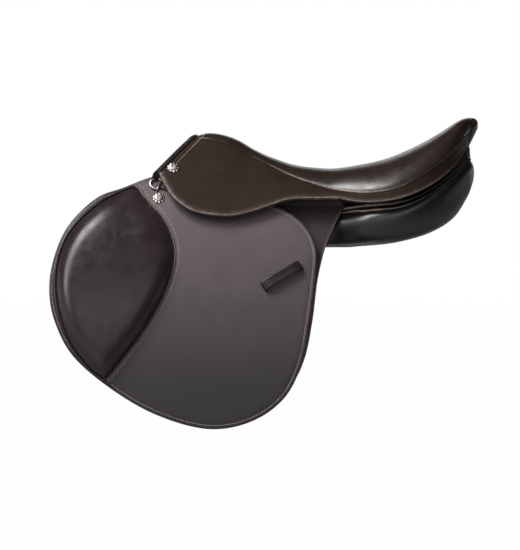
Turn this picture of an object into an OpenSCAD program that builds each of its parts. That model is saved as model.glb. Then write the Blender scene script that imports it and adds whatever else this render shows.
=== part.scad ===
// Jumping saddle, adult 17.5 inch seat, taken apart as it would be on a saddler's bench.
// Frame: +X to the rear, +Y to the off side, +Z up. The origin lies in the middle plane, below the lowest
// part of the seat, at the height of the panels' bearing line. Lengths are in millimetres.

/* [Side curve] */
// Radius of the curve that flap, skirt, girth straps and sweat flap follow down the side
barrel_r = 850; // [800:10:900]
// Half width across the outside of the flaps at top_z
top_half = 115; // [112:1:118]
// Height at which top_half is measured
top_z = 60; // [58:1:62]
// Half width across the outside of the flaps at foot_z
foot_half = 240; // [230:1:250]
// Height of the lowest edge of the flaps
foot_z = -266; // [-276:1:-256]

/* [Leather] */
// Thickness of a flap, outer leather and lining together
flap_thick = 4.5; // [3.5:0.5:5.5]
// Thickness of a skirt
skirt_thick = 4; // [3:0.5:5]
// Space under a skirt, where the stirrup bar lies
skirt_space = 11; // [10:0.5:13]
// Thickness of the sweat flap
sweat_thick = 3; // [2.5:0.5:3.5]
// Thickness of the seat leather
seat_leather = 3; // [2.5:0.5:3.5]
// Crown height of the knee pad above the flap
pad_height = 21; // [16:1:24]

/* [Girth straps] */
// Width of a girth strap
billet_w = 25; // [20:1:28]
// Thickness of a girth strap
billet_thick = 4; // [3:0.5:5]
// Spacing of the girth straps
billet_pitch = 45; // [40:1:48]
// Height of the pivot line of the girth straps
billet_top_z = 34; // [30:1:36]
// Height of the tips of the girth straps
billet_foot_z = -190; // [-200:1:-170]
// Radius of a buckle hole
hole_r = 2.5; // [2:0.25:3]
// Buckle holes in each girth strap
hole_count = 7; // [5:1:8]
// Spacing of the buckle holes
hole_pitch = 22; // [18:1:24]
// Height of the buckle guard, along the straps
guard_h = 62; // [50:1:70]
// Thickness of the buckle guard
guard_thick = 3; // [2:0.5:3.5]

/* [Stirrup bar] */
// Length of the bar that carries the stirrup leather
bar_len = 82; // [70:1:90]
// Height of the bar
bar_h = 12; // [10:1:14]
// Thickness of the bar
bar_thick = 6; // [5.5:0.5:7]
// Length of the thumb catch behind its pin
catch_len = 20; // [16:1:22]
// Radius of the catch pin
pin_r = 1.5; // [1:0.25:2]

/* [Metal fittings] */
// Radius of the bow of a front dee
dee_r = 9; // [8:0.5:10]
// Diameter of the dee wire
dee_wire = 3.6; // [3:0.2:4]
// Radius of a saddle nail's head
nail_head_r = 6.5; // [5:0.5:7]

/* [Stirrup leather keeper] */
// Length of the keeper loop on the flap
keeper_len = 66; // [56:1:70]
// Width of the keeper strap
keeper_w = 15; // [12:1:18]
// Clear height inside the keeper
keeper_rise = 7; // [6:0.5:9]

/* [Hidden] */

near = -1;
off = 1;
// Gap between two pieces that are sewn or seated together
seat_gap = 0.3;
// Gap between layers that slide over each other
slip_gap = 1;
// Gap round a strap in its loop
loop_gap = 0.5;
// Length along X that every side layer is cut from, and its middle
layer_len = 700;
layer_mid = -90;
// Facets of the side curve in previews
barrel_fn = 720;

// Layers on each side, measured outwards from the outside of the flap
flap_in = -flap_thick;
guard_out = flap_in - slip_gap;
guard_in = guard_out - guard_thick;
billet_out = guard_in - loop_gap;
billet_in = billet_out - billet_thick;
loop_thick = 1.8;
loop_out = billet_in - loop_gap;
loop_in = loop_out - loop_thick;
web_thick = 1.5;
web_out = billet_in - seat_gap;
web_in = web_out - web_thick;
sweat_out = loop_in - slip_gap;
sweat_in = sweat_out - sweat_thick;
pocket_wall = 2;
pocket_out = sweat_in - seat_gap;
point_out = pocket_out - pocket_wall - seat_gap;
skirt_in = skirt_space;
skirt_out = skirt_in + skirt_thick;
rail_out = -15;

// Colours
leather_brown = [0.21, 0.16, 0.14];
flap_brown = [0.27, 0.22, 0.22];
pad_black = [0.11, 0.08, 0.08];
steel = [0.74, 0.73, 0.72];
wood = [0.72, 0.56, 0.36];
webbing = [0.78, 0.74, 0.66];
foam = [0.85, 0.8, 0.6];

// Smooth curves through a few points

function spline_point(a, b, c, d, t) =
    0.5 * (2 * b + (c - a) * t + (2 * a - 5 * b + 4 * c - d) * t * t + (3 * b - a - 3 * c + d) * t * t * t);

function closed_curve(p, n) = let (k = len(p))
    [for (i = [0 : k - 1], j = [0 : n - 1])
        spline_point(p[(i + k - 1) % k], p[i], p[(i + 1) % k], p[(i + 2) % k], j / n)];

function open_curve(p, n) = let (k = len(p))
    [for (i = [0 : k - 2], j = [0 : n - 1])
        spline_point(p[max(i - 1, 0)], p[i], p[i + 1], p[min(i + 2, k - 1)], j / n), p[k - 1]];

function bezier(a, b, c, d, t) =
    a * pow(1 - t, 3) + b * 3 * t * pow(1 - t, 2) + c * 3 * t * t * (1 - t) + d * pow(t, 3);

function unit(v) = v / norm(v);
function reversed(p) = [for (i = [len(p) - 1 : -1 : 0]) p[i]];
function mirrored(p) = [for (q = p) [-q[0], q[1]]];
function middle(p) = [for (k = [0 : 2]) [for (q = p) q[k]] * [for (q = p) 1 / len(p)]];

// An open line of plane points moved sideways, to its left by d
function beside(p, d) = let (k = len(p))
    [for (i = [0 : k - 1]) let (t = unit(p[min(i + 1, k - 1)] - p[max(i - 1, 0)])) p[i] + d * [-t[1], t[0]]];

// A band of the given width on the left of an open line
function band(p, d0, d1) = concat(beside(p, d0), reversed(beside(p, d1)));

// Height of a smooth line of points [x, z] at x
function height_at(p, x) = lookup(x, open_curve(p, 8));

// The side curve: a circle about an axis parallel to X

chord = [foot_half - top_half, foot_z - top_z];
chord_rise = sqrt(barrel_r * barrel_r - chord * chord / 4);
barrel_mid = [(top_half + foot_half) / 2, (top_z + foot_z) / 2];
barrel_axis = barrel_mid - chord_rise * unit([-chord[1], chord[0]]);

function side_angle(z) = asin((z - barrel_axis[1]) / barrel_r);
function side_y(z, d) =
    barrel_axis[0] + sqrt(pow(barrel_r + d, 2) - pow(z - barrel_axis[1], 2));
function side_point(x, z, d) = [x, side_y(z, d), z];

// The rows below are drawn for a saddle this half width at the tree's height, and widen with the side curve
tree_z = 84;
drawn_half = 99;
wide = side_y(tree_z, 0) / drawn_half;
function widened(p) = [for (q = p) [q[0], q[1] * wide]];

// Puts children, drawn for the off side, on the off or the near side
module on_side(s) {
    if (s == off) children();
    else mirror([0, 1, 0]) children();
}

// Local frame on the side curve: X to the rear, Y outwards, Z up the slope. Y = 0 is the outside of the flap
module at_side(x, z) {
    translate([x, side_point(x, z, 0)[1], z]) rotate([side_angle(z), 0, 0]) children();
}

// Layer of the off side between two distances from the outside of the flap
module layer(d0, d1) {
    translate([layer_mid - layer_len / 2, barrel_axis[0], barrel_axis[1]]) rotate([0, 90, 0])
        difference() {
            cylinder(h = layer_len, r = barrel_r + d1, $fn = barrel_fn);
            translate([0, 0, -1]) cylinder(h = layer_len + 2, r = barrel_r + d0, $fn = barrel_fn);
        }
}

// A side view outline [x, z] pushed through the off half of the saddle
module through_side(outline) {
    reach = foot_half + 80;
    translate([0, reach, 0]) rotate([90, 0, 0]) linear_extrude(height = reach - 2) polygon(outline);
}

// A side view outline pushed through both halves, over a half width
module through_width(outline, half) {
    translate([0, half, 0]) rotate([90, 0, 0]) linear_extrude(height = 2 * half) polygon(outline);
}

// A front view outline [y, z] pushed along X from x0 to x1
module along_length(outline, x0, x1) {
    translate([x0, 0, 0]) rotate([90, 0, 90]) linear_extrude(height = x1 - x0) polygon(outline);
}

module plate(outline, d0, d1) {
    intersection() {
        through_side(outline);
        layer(d0, d1);
    }
}

// Solid between two grids of points with equal rows: outer is seen from outside, inner lies under it
module slab(outer, inner) {
    n = len(outer);
    m = len(outer[0]);
    under = n * m;
    function at(i, j) = i * m + j;
    function quad(a, b, c, d) = [[a, b, c], [a, c, d]];
    polyhedron(
        points = concat([for (r = outer) each r], [for (r = inner) each r]),
        faces = concat(
            [for (i = [0 : n - 2], j = [0 : m - 2])
                each quad(at(i, j), at(i, j + 1), at(i + 1, j + 1), at(i + 1, j))],
            [for (i = [0 : n - 2], j = [0 : m - 2])
                each quad(under + at(i, j), under + at(i + 1, j), under + at(i + 1, j + 1), under + at(i, j + 1))],
            [for (i = [0 : n - 2])
                each quad(at(i, 0), at(i + 1, 0), under + at(i + 1, 0), under + at(i, 0))],
            [for (i = [0 : n - 2])
                each quad(at(i, m - 1), under + at(i, m - 1), under + at(i + 1, m - 1), at(i + 1, m - 1))],
            [for (j = [0 : m - 2])
                each quad(at(0, j), under + at(0, j), under + at(0, j + 1), at(0, j + 1))],
            [for (j = [0 : m - 2])
                each quad(at(n - 1, j), at(n - 1, j + 1), under + at(n - 1, j + 1), under + at(n - 1, j))]
        )
    );
}

// Solid through a stack of closed rings with equal counts, with a point in the middle of each end
module loft(rings) {
    n = len(rings);
    m = len(rings[0]);
    first = n * m;
    last = first + 1;
    function at(i, j) = i * m + j % m;
    polyhedron(
        points = concat([for (r = rings) each r], [middle(rings[0]), middle(rings[n - 1])]),
        faces = concat(
            [for (i = [0 : n - 2], j = [0 : m - 1])
                each [[at(i, j), at(i, j + 1), at(i + 1, j + 1)], [at(i, j), at(i + 1, j + 1), at(i + 1, j)]]],
            [for (j = [0 : m - 1]) [first, at(0, j + 1), at(0, j)]],
            [for (j = [0 : m - 1]) [last, at(n - 1, j), at(n - 1, j + 1)]]
        )
    );
}

// Round tube through a list of points
module tube(route, r, sides) {
    k = len(route);
    loft([for (i = [0 : k - 1]) let (
            t = unit(route[min(i + 1, k - 1)] - route[max(i - 1, 0)]),
            u = unit(cross(t, [0, 0, 1])),
            v = cross(u, t)
        ) [for (j = [0 : sides - 1]) let (a = 360 * j / sides) route[i] + r * (cos(a) * u + sin(a) * v)]]);
}

// Side view outlines, off side and near side alike

// The flap's cut edge, clockwise from under the pommel
flap_points = [
    [-262, 100], [-304, 84], [-344, 68], [-384, 27], [-404, -22], [-409, -68], [-400, -112], [-374, -160],
    [-322, -205], [-255, -244], [-180, -265], [-118, -255], [-70, -222], [-44, -172], [-32, -110],
    [-24, -50], [-22, -8], [-34, 22], [-58, 45], [-92, 62], [-130, 92], [-200, 104],
];
flap_outline = closed_curve(flap_points, 4);

// The bend line of the flap, two points in the side view
flap_bend = [[-279, 62], [-43, -20]];
// The bend line of the skirt
skirt_bend = [[-250, 104], [-2, 74]];

// The half of the side view on one side of a bend line, gap away from it; way is 1 for above, -1 for below
function half_plane(bend, way, gap) = let (
        t = unit(bend[1] - bend[0]),
        up = [-t[1], t[0]],
        a = bend[0] + way * gap * up,
        far = 900
    ) [a - far * t, a + far * t, a + far * t + way * far * up, a - far * t + way * far * up];

// The sweat flap: a little inside the flap at the front, a little past it at the rear
sweat_points = [
    [-268, 50], [-330, 40], [-372, 10], [-392, -40], [-388, -98], [-354, -158], [-290, -212], [-220, -244],
    [-160, -252], [-108, -240], [-62, -206], [-40, -166], [-28, -110], [-20, -50], [-8, -2], [8, 34],
    [20, 63], [-10, 65], [-50, 64], [-160, 56],
];

// The pocket for the point of the tree, under the sweat flap
pocket_outline = [[-276, 34], [-226, 34], [-226, -40], [-276, -40]];

// The skirt's free edge below its bend line, from the front to the rear
skirt_points = [
    [-250, 106], [-255, 94], [-247, 71], [-233, 56], [-192, 44], [-149, 40], [-94, 51], [-66, 62],
    [-38, 69], [-14, 69], [-7, 71],
];

// The knee pad's seam, below the flap's bend line
pad_points = [
    [-288, 60], [-256, 46], [-234, 18], [-229, -18], [-241, -62], [-264, -108], [-294, -150], [-328, -190],
    [-350, -178], [-378, -140], [-394, -95], [-399, -50], [-391, -8], [-372, 28], [-340, 54], [-312, 63],
];

// Height of a bend line at x
function bend_z(bend, x) =
    bend[0][1] + (x - bend[0][0]) * (bend[1][1] - bend[0][1]) / (bend[1][0] - bend[0][0]);

// Seat: one row for each cross section, [x of its top, lean, crown height, half width at the welt,
// welt height, dish depth, how far the lower edge stands out past the skirt, height of the lower edge]
seat_rear_rows = [
    [12, 0, 110.8, 110, 80, 1, 0, 68],
    [45, 0, 114.5, 126, 76, 3, 0, 62.5],
    [80, 0, 120.5, 136, 79, 5, 11, 64],
    [110, 0, 132, 136, 88, 6, 16, 71],
    [140, 0, 148, 126, 106, 7, 14, 84],
    [170, 0.03, 167, 106, 128, 7, 6, 103],
    [190, 0.07, 181, 80, 147, 6, -8, 121],
    [205, 0.12, 189, 46, 167, 3, -28, 138],
    [213, 0.15, 190, 20, 178, 1, -51, 143],
];
// Rows above the skirt have no values for the lower edge, which lies along the skirt's bend
seat_front_rows = [
    [-195, 0.95, 163, 36, 157, 0],
    [-176, 0.9, 167, 42, 158, 0],
    [-140, 0.7, 158, 48, 148, 0],
    [-113, 0.5, 142, 55, 132, 0],
    [-86, 0.25, 128.5, 68, 117, 0],
    [-50, 0.1, 116, 84, 99, 0],
    [-4, 0, 110.5, 103, 83, 1],
];
bend_gap = 0.4;
edge_gap = 2.2;
function above_bend(r) = let (z = bend_z(skirt_bend, r[0] - r[1] * (r[2] - bend_z(skirt_bend, r[0]))))
    concat(r, [0, z + edge_gap]);
function with_edge(r) = let (edge = side_y(r[7], skirt_out) + r[6] * wide)
    [r[0], r[1], r[2], r[3] * wide, r[4], r[5], edge, r[7]];
seat_rows = [for (r = concat([for (f = seat_front_rows) above_bend(f)], seat_rear_rows)) with_edge(r)];
seat_sections = open_curve(seat_rows, 2);
top_steps = 6;
side_steps = 3;

// A point of one seat section's top or side as [y, z], share of the way down it
function seat_top(r, share) = let (crown = [0, r[2] - r[5]], welt = [r[3], r[4]])
    bezier(crown, [0.45 * r[3], crown[1]],
        [0.8 * r[3], r[2] + 0.12 * (r[2] - r[4]) + 1.2 * r[5]], welt, share);
function seat_side(r, share) = let (welt = [r[3], r[4]], foot = [r[6], r[7]], fall = welt - foot)
    bezier(welt, welt - [0.33 * fall[0], 0.08 * fall[1]],
        foot + [0.25 * fall[0], 0.45 * fall[1]], foot, share);

// Half of one seat section as plane points [y, z], from the middle to the lower edge
function seat_half(r) = concat(
        [for (i = [0 : top_steps]) seat_top(r, i / top_steps)],
        [for (i = [1 : side_steps]) seat_side(r, i / side_steps)]
    );

// A whole section from the near edge to the off edge, moved inwards by d
function seat_line(r, d) = let (
        half = seat_half(r),
        whole = concat(mirrored(reversed([for (i = [1 : len(half) - 1]) half[i]])), half)
    ) beside(whole, -d);

function stand_up(r, p) = [for (q = p) [r[0] - r[1] * (r[2] - q[1]), q[0], q[1]]];
function seat_grid(d) = [for (r = seat_sections) stand_up(r, seat_line(r, d))];
// A point d outside the welt of section i, on the off side, square to the leaning and tapering leather
function welt_point(i, d) = let (
        r = seat_sections[i],
        fore = seat_sections[max(i - 1, 0)],
        aft = seat_sections[i + 1],
        taper = (aft[3] - fore[3]) / (aft[0] - fore[0]),
        q = beside(seat_half(r), d * norm([1, r[1], taper]))[top_steps]
    ) [r[0] - r[1] * (r[2] - q[1]), q[0], q[1]];

// Tree lines in the side view
rail_line = [
    [-230, 86], [-150, 84], [-60, 83], [0, 82], [50, 82], [100, 89], [150, 112], [185, 142], [204, 161],
];
rail_thick = 14;
web_line = [
    [-196, 147.6], [-180, 147.2], [-160, 142], [-113, 125], [-86, 112], [-50, 99], [0, 92], [45, 94],
    [80, 99], [110, 109], [140, 125], [170, 143], [197, 155],
];
seat_web_thick = 2;
// The seat's two lengthwise straps of webbing: width, and distance from the middle plane
strip_w = 22;
strip_y = 16;
// Least thickness of the foam, at its edges
foam_edge = 5;
spring_thick = 1.5;
lining_thick = 1.5;
// Heights below the rails' top line: under the rail, and under its spring
under_rail = -rail_thick - seat_gap;
under_spring = under_rail - spring_thick - seat_gap;
rail_half = side_y(tree_z, rail_out);
lining_half = rail_half - rail_thick;

function line_band(line, low, high) = let (c = open_curve(line, 3))
    concat([for (p = c) p + [0, high]], reversed([for (p = c) p + [0, low]]));

// Plan of the tree, off half: the rail beside the flap, measured from the flap's side, then the cantle
rail_w = 22;
rail_outer = concat(
    [[-230, rail_half + 11], [-100, rail_half + 8], [-50, rail_half + 9], [0, rail_half + 16]],
    widened([[50, 104], [100, 108], [150, 94], [182, 68], [200, 36], [205, 0]])
);
rail_inner = concat(
    widened([[166, 0], [156, 45], [136, 62], [100, 74], [50, 74]]),
    [[0, rail_half - 15], [-100, rail_half - rail_w], [-230, rail_half - rail_w]]
);
// X behind which the rails are clear of the flaps and straps
rail_free_x = 40;
// Middle line of the steel spring under each rail, in plan
spring_plan = concat(
    [[-205, rail_half - 5], [-100, rail_half - 7], [0, rail_half]],
    widened([[50, 90], [110, 93]])
);
spring_w = 14;

// The head leans back: its strip in the side view, front edge then rear edge
head_front = [[-188, 163], [-250, 98], [-262, 60], [-266, -36]];
head_back = [[-236, -36], [-234, 60], [-227, 98], [-162, 163]];
head_thick = 11;
plate_thick = 3;
plate_inset = 5;
plate_out = -head_thick - seat_gap;
head_rivet_x = -250;
head_rivet_z = [48, 30];
// Height that the points of the tree reach down to
point_foot_z = -30;
head_from = -300;
head_to = -150;
head_half = concat(
    [for (q = [[0, 147], [28, 145], [52, 136], [68, 118], [76, 98]]) [q[0] * wide, q[1]]],
    [for (z = [70 : -20 : point_foot_z]) [side_y(z, point_out), z]]
);
head_line = concat(mirrored(reversed([for (i = [1 : len(head_half) - 1]) head_half[i]])), head_half);

// Panel: one row for each section, [x, distance of its middle from the middle plane, height of its
// middle, half width, half depth, tilt]
panel_rows = [
    [-262, 71.3, 22, 20, 6, 60],
    [-256, 71.3, 20, 43, 14, 60],
    [-215, 71.3, 20, 49, 16, 59],
    [-160, 72.3, 20, 49, 18, 50],
    [-100, 70.3, 22, 50, 20, 36],
    [-40, 66.3, 27, 42, 25, 26],
    [8, 66.3, 29, 40, 27, 20],
    [52, 80.3, 31, 51, 29, 8],
    [100, 84.3, 37, 54, 30, 6],
    [145, 81.3, 53, 51, 34, 4],
    [180, 71.3, 75, 43, 36, 2],
    [200, 60.3, 97, 31, 30, 0],
    [208, 55.3, 104, 17, 18, 0],
    [211, 53.3, 105, 6, 6, 0],
];
panel_sections = open_curve(panel_rows, 2);
panel_sides = 16;
// How square the panel's section is: 1 is an ellipse, less is squarer
panel_square = 0.65;
welt_r = 1.8;
// Where the panel's welt begins and ends
panel_welt_x = [12, 205];

function squared(v) = sign(v) * pow(abs(v), panel_square);
function panel_point(r, a, grow) = let (
        p = (r[3] * wide + grow) * squared(cos(a)),
        q = (r[4] + grow) * squared(sin(a))
    ) [r[0], r[1] * wide + p * cos(r[5]) + q * sin(r[5]), r[2] - p * sin(r[5]) + q * cos(r[5])];

// Stirrup bar, in the local frame of the side curve
bar_x = -180;
bar_rail_z = height_at(rail_line, bar_x) - rail_thick / 2;
bar_z = bar_rail_z - (rail_out + seat_gap) * sin(side_angle(bar_rail_z));
bar_in = skirt_in - slip_gap - bar_thick - 2 * seat_gap;
bar_out = bar_in + bar_thick;
bar_plate_thick = 3;
bar_plate_in = rail_out + seat_gap;
bar_arm = 10;
// Room round the bar in the flap's window
bar_room = 5;
rivet_r = 2.5;
rivet_bite = 6;
bar_front = -bar_len / 2 - 8;
catch_pivot = bar_len / 2 - 4;
// Thickness of each cheek beside the catch's tongue, and the play beside the tongue
cheek = 1.4;
play = 0.2;
tongue_thick = bar_thick - 2 * (cheek + play);
catch_round = bar_h / 2 - 2 * play;

// Girth straps: the tapered tip's height and the half width of its end
tip_h = 9;
tip_half = 5;
billet_mid_x = -122;
function billet_x(i) = billet_mid_x + (i - 2) * billet_pitch;
guard_z = -12;
guard_edge = 8;
guard_corner = 10;
guard_half = billet_pitch + billet_w / 2 + guard_edge;
loop_h = 14;
loop_side = 2;

// Dee, nails and keeper
dee_x = -251;
dee_z = 87;
dee_turn = 22;
// Straight length between the dee's bar and its bow
dee_reach = 5;
flap_nail_x = -252;
flap_nail_z = 68;
// The head nail sits on the seat's side, this share of the way down it
head_nail_share = 0.9;
head_nail_step = 0.05;
nail_bite = 32;
nail_shank_r = 1.5;
nail_dome = 3.2;
keeper_x = -72;
keeper_z = -47;
keeper_turn = 33;
keeper_thick = 2.6;

// Tree

module tree_frame() color(wood) intersection() {
    through_width(line_band(rail_line, -rail_thick, 0), foot_half);
    union() for (s = [near, off]) on_side(s) intersection() {
        linear_extrude(height = 200) polygon(concat(open_curve(rail_outer, 3), open_curve(rail_inner, 3)));
        union() {
            layer(-200, rail_out);
            translate([rail_free_x, -1, 0]) cube([200, foot_half, 200]);
        }
    }
}

function head_strip(front, back) =
    concat([for (p = head_front) p + [front, 0]], [for (p = head_back) p - [back, 0]]);

module tree_head() color(wood) intersection() {
    through_width(head_strip(0, 1), 200);
    along_length(band(head_line, 0, -head_thick), head_from, head_to);
}

module gullet_plate() color(steel) intersection() {
    through_width(head_strip(plate_inset, plate_inset), 200);
    along_length(band(head_line, plate_out, plate_out - plate_thick), head_from, head_to);
    translate([head_from, -foot_half, point_foot_z + 50]) cube([head_to - head_from, 2 * foot_half, 200]);
}

module head_rivets() color(steel) for (s = [near, off]) on_side(s) for (z = head_rivet_z)
    at_side(head_rivet_x, z) translate([0, point_out - head_thick - 2 * seat_gap - plate_thick, 0])
        rotate([-90, 0, 0]) cylinder(h = head_thick + plate_thick, r = rivet_r, $fn = 32);

module tree_spring(s) color(steel) on_side(s) intersection() {
    through_width(line_band(rail_line, under_rail - spring_thick, under_rail), 130);
    linear_extrude(height = 200) polygon(band(open_curve(spring_plan, 3), -spring_w / 2, spring_w / 2));
}

module seat_web() color(webbing) intersection() {
    through_width(line_band(web_line, 0, seat_web_thick), 60);
    union() for (s = [near, off]) translate([-196, s * strip_y - strip_w / 2, 0]) cube([394, strip_w, 250]);
}

module girth_web(s) color(webbing) on_side(s) union() {
    lap = billet_w / 2 - 1;
    for (i = [1 : 3]) {
        left = billet_x(i) - lap;
        right = billet_x(i) + lap;
        fold_left = height_at(rail_line, left) + under_spring;
        fold_right = height_at(rail_line, right) + under_spring;
        plate([[left, billet_top_z - lap], [right, billet_top_z - lap], [right, fold_right], [left, fold_left]],
            web_in, web_out);
        intersection() {
            through_side([[left, fold_left - web_thick], [right, fold_right - web_thick],
                [right, fold_right], [left, fold_left]]);
            translate([left, lining_half + seat_gap, 0]) cube([2 * lap, foot_half, 200]);
            layer(-200, web_out);
        }
    }
}

// Stirrup bar and its catch

module stirrup_bar(s) color(steel) on_side(s) at_side(bar_x, bar_z) difference() {
    union() {
        translate([bar_front, bar_plate_in, -rail_thick / 2]) cube([bar_len + 30, bar_plate_thick, rail_thick]);
        translate([bar_front, bar_plate_in, -bar_h / 2]) cube([bar_arm, bar_out - bar_plate_in, bar_h]);
        translate([bar_front, bar_in, -bar_h / 2]) cube([catch_pivot - bar_front, bar_thick, bar_h]);
        translate([catch_pivot, bar_in, 0]) rotate([-90, 0, 0])
            cylinder(h = bar_thick, r = bar_h / 2, $fn = 48);
    }
    // Slot for the catch's tongue, and the pin's bore
    translate([catch_pivot - bar_h / 2 - 1, bar_in + cheek, -bar_h])
        cube([bar_h * 2, tongue_thick + 2 * play, 2 * bar_h]);
    translate([catch_pivot, bar_in - 1, 0]) rotate([-90, 0, 0])
        cylinder(h = bar_thick + 2, r = pin_r, $fn = 32);
    for (x = rivet_places) translate([x, bar_plate_in - 1, 0])
        rotate([-90, 0, 0]) cylinder(h = bar_plate_thick + 2, r = rivet_r + 0.1, $fn = 32);
}

rivet_places = [bar_front + 22, 0, bar_len / 2 + 8];

module bar_catch(s) color(steel) on_side(s) at_side(bar_x, bar_z)
    translate([catch_pivot, bar_in + cheek + play, 0]) difference() {
        union() {
            for (x = [0, catch_len]) translate([x, 0, 0]) rotate([-90, 0, 0])
                cylinder(h = tongue_thick, r = catch_round, $fn = 48);
            translate([0, 0, -catch_round]) cube([catch_len, tongue_thick, 2 * catch_round]);
        }
        translate([0, -1, 0]) rotate([-90, 0, 0]) cylinder(h = bar_thick, r = pin_r + 0.08, $fn = 32);
    }

module catch_pins() color(steel) for (s = [near, off]) on_side(s) at_side(bar_x, bar_z)
    translate([catch_pivot, bar_in, 0]) rotate([-90, 0, 0])
        cylinder(h = bar_thick, r = pin_r - 0.02, $fn = 32);

module bar_rivets() color(steel) for (s = [near, off]) on_side(s) at_side(bar_x, bar_z)
    for (x = rivet_places) translate([x, bar_plate_in - rivet_bite, 0]) rotate([-90, 0, 0]) {
        cylinder(h = rivet_bite + bar_plate_thick, r = rivet_r, $fn = 32);
        translate([0, 0, rivet_bite + bar_plate_thick]) cylinder(h = 1.5, r = 4.5, $fn = 32);
    }

// Seat

module seat_foam() {
    rows = [for (i = [2 : len(seat_sections) - 5]) seat_sections[i]];
    keep = top_steps - 1;
    middle_at = top_steps + side_steps;
    function upper(r) = let (line = stand_up(r, seat_line(r, seat_leather + seat_gap)))
        [for (j = [middle_at - keep : middle_at + keep]) line[j]];
    function floor_z(p) = min(height_at(web_line, p[0]) + seat_web_thick + 2 * seat_gap, p[2] - foam_edge);
    top_grid = [for (r = rows) upper(r)];
    color(foam) slab(top_grid, [for (row = top_grid) [for (p = row) [p[0], p[1], floor_z(p)]]]);
}

// Local frame of the head nail: Y square to the seat's side, and Y = 0 its outside
module head_nail_frame() {
    r = (seat_sections[1] + seat_sections[2]) / 2;
    place = seat_side(r, head_nail_share);
    run = seat_side(r, head_nail_share + head_nail_step) - seat_side(r, head_nail_share - head_nail_step);
    translate([r[0] - r[1] * (r[2] - place[1]), place[0], place[1]]) rotate([atan2(run[0], -run[1]), 0, 0])
        children();
}

module seat_cover() color(leather_brown) difference() {
    slab(seat_grid(0), seat_grid(seat_leather));
    for (s = [near, off]) on_side(s) head_nail_frame() nail_hole();
}

module pommel_facing() {
    r = seat_rows[0];
    // Steps of the facing, [distance forward of the seat's edge, outer offset, inner offset]
    steps = [[0.4, 1.5, 7], [7, 1.5, 7], [10, -1.5, 5]];
    function arch(st, d) = [for (p = stand_up(r, seat_line(r, d))) p - [st[0], 0, 0]];
    color(leather_brown)
        slab(reversed([for (st = steps) arch(st, -st[1])]), reversed([for (st = steps) arch(st, st[2])]));
}

module cantle_cap() color(leather_brown) {
    r = seat_rows[len(seat_rows) - 1];
    line = stand_up(r, seat_line(r, 0));
    centre = middle(line);
    loft([for (st = [[0.4, 1], [2.6, 0.92], [4, 0.7], [4.8, 0.35]])
        [for (p = line) centre + (p - centre) * st[1] + [st[0], 0, 0]]]);
}

module seat_welt(s) color(leather_brown) on_side(s)
    tube([for (i = [0 : len(seat_sections) - 5]) welt_point(i, welt_r + seat_gap)], welt_r, 6);

// Panel

module panel(s) color(pad_black) on_side(s)
    loft([for (r = panel_sections)
        [for (j = [0 : panel_sides - 1]) panel_point(r, 360 * j / panel_sides, 0)]]);

module panel_welt(s) color(leather_brown) on_side(s)
    tube([for (r = panel_sections) if (r[0] > panel_welt_x[0] && r[0] < panel_welt_x[1])
        panel_point(r, 45, welt_r + seat_gap)], welt_r, 6);

module channel_lining() color(webbing) intersection() {
    through_width(line_band(rail_line, under_spring - lining_thick, under_spring), 130);
    translate([-200, -lining_half, 0]) cube([310, 2 * lining_half, 200]);
}

// Flaps and what is sewn to them

module flap_top(s) color(flap_brown) on_side(s) difference() {
    plate(flap_outline, flap_in, 0);
    through_side(half_plane(flap_bend, -1, -bend_gap));
    // Window for the stirrup bar
    at_side(bar_x, bar_z) translate([bar_front - bar_room, -30, -bar_h - bar_room])
        cube([bar_len + catch_len + 20 + bar_room, 60, 2 * (bar_h + bar_room)]);
    at_side(flap_nail_x, flap_nail_z) nail_hole();
    head_nail_frame() nail_hole();
}

module flap(s) color(flap_brown) on_side(s) difference() {
    plate(flap_outline, flap_in, 0);
    through_side(half_plane(flap_bend, 1, -bend_gap));
    // Slits for the keeper's ends
    keeper_frame() for (e = [-1, 1]) translate([e * (keeper_len / 2 - keeper_thick / 2), -8, 0])
        cube([keeper_thick + 0.6, 20, keeper_w + 0.6], center = true);
}

module keeper_frame() {
    at_side(keeper_x, keeper_z) rotate([0, -keeper_turn, 0]) children();
}

module knee_pad(s) {
    seam = closed_curve(pad_points, 2);
    mid = [for (k = [0, 1]) [for (q = seam) q[k]] * [for (q = seam) 1 / len(seam)]];
    function shrink(share) = [for (q = seam) mid + share * (q - mid)];
    // Rings up the pad, [share of the outline, height above the flap]
    under = [for (share = [0.05, 0.3, 0.55, 0.8, 1]) [share, 2 * seat_gap]];
    over = [for (st = [[1, 0.15], [0.97, 0.42], [0.88, 0.72], [0.72, 0.92], [0.45, 1], [0.05, 1]])
        [st[0], st[1] * pad_height]];
    color(pad_black) on_side(s)
        loft(reversed([for (st = concat(under, over)) [for (q = shrink(st[0])) side_point(q[0], q[1], st[1])]]));
}

module leather_keeper(s) color(pad_black) on_side(s) keeper_frame() {
    top = seat_gap + keeper_rise + keeper_thick;
    half = keeper_len / 2;
    bow = [for (i = [0 : 12]) let (a = 180 * i / 12)
        [-half * sign(cos(a)) * pow(abs(cos(a)), 0.35), top * pow(sin(a), 0.5)]];
    tail = flap_in + loop_gap;
    line = concat([[-half, tail]], bow, [[half, tail]]);
    translate([0, 0, -keeper_w / 2]) linear_extrude(height = keeper_w) polygon(band(line, 0, -keeper_thick));
}

module sweat_flap(s) color(flap_brown) on_side(s) plate(closed_curve(sweat_points, 4), sweat_in, sweat_out);

module point_pocket(s) color(flap_brown) on_side(s)
    plate(pocket_outline, pocket_out - pocket_wall, pocket_out);

// Skirts

module skirt(s) color(leather_brown) on_side(s) difference() {
    plate(open_curve(skirt_points, 4), skirt_in, skirt_out);
    through_side(half_plane(skirt_bend, 1, -bend_gap));
}

// Girth straps and guard

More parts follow.
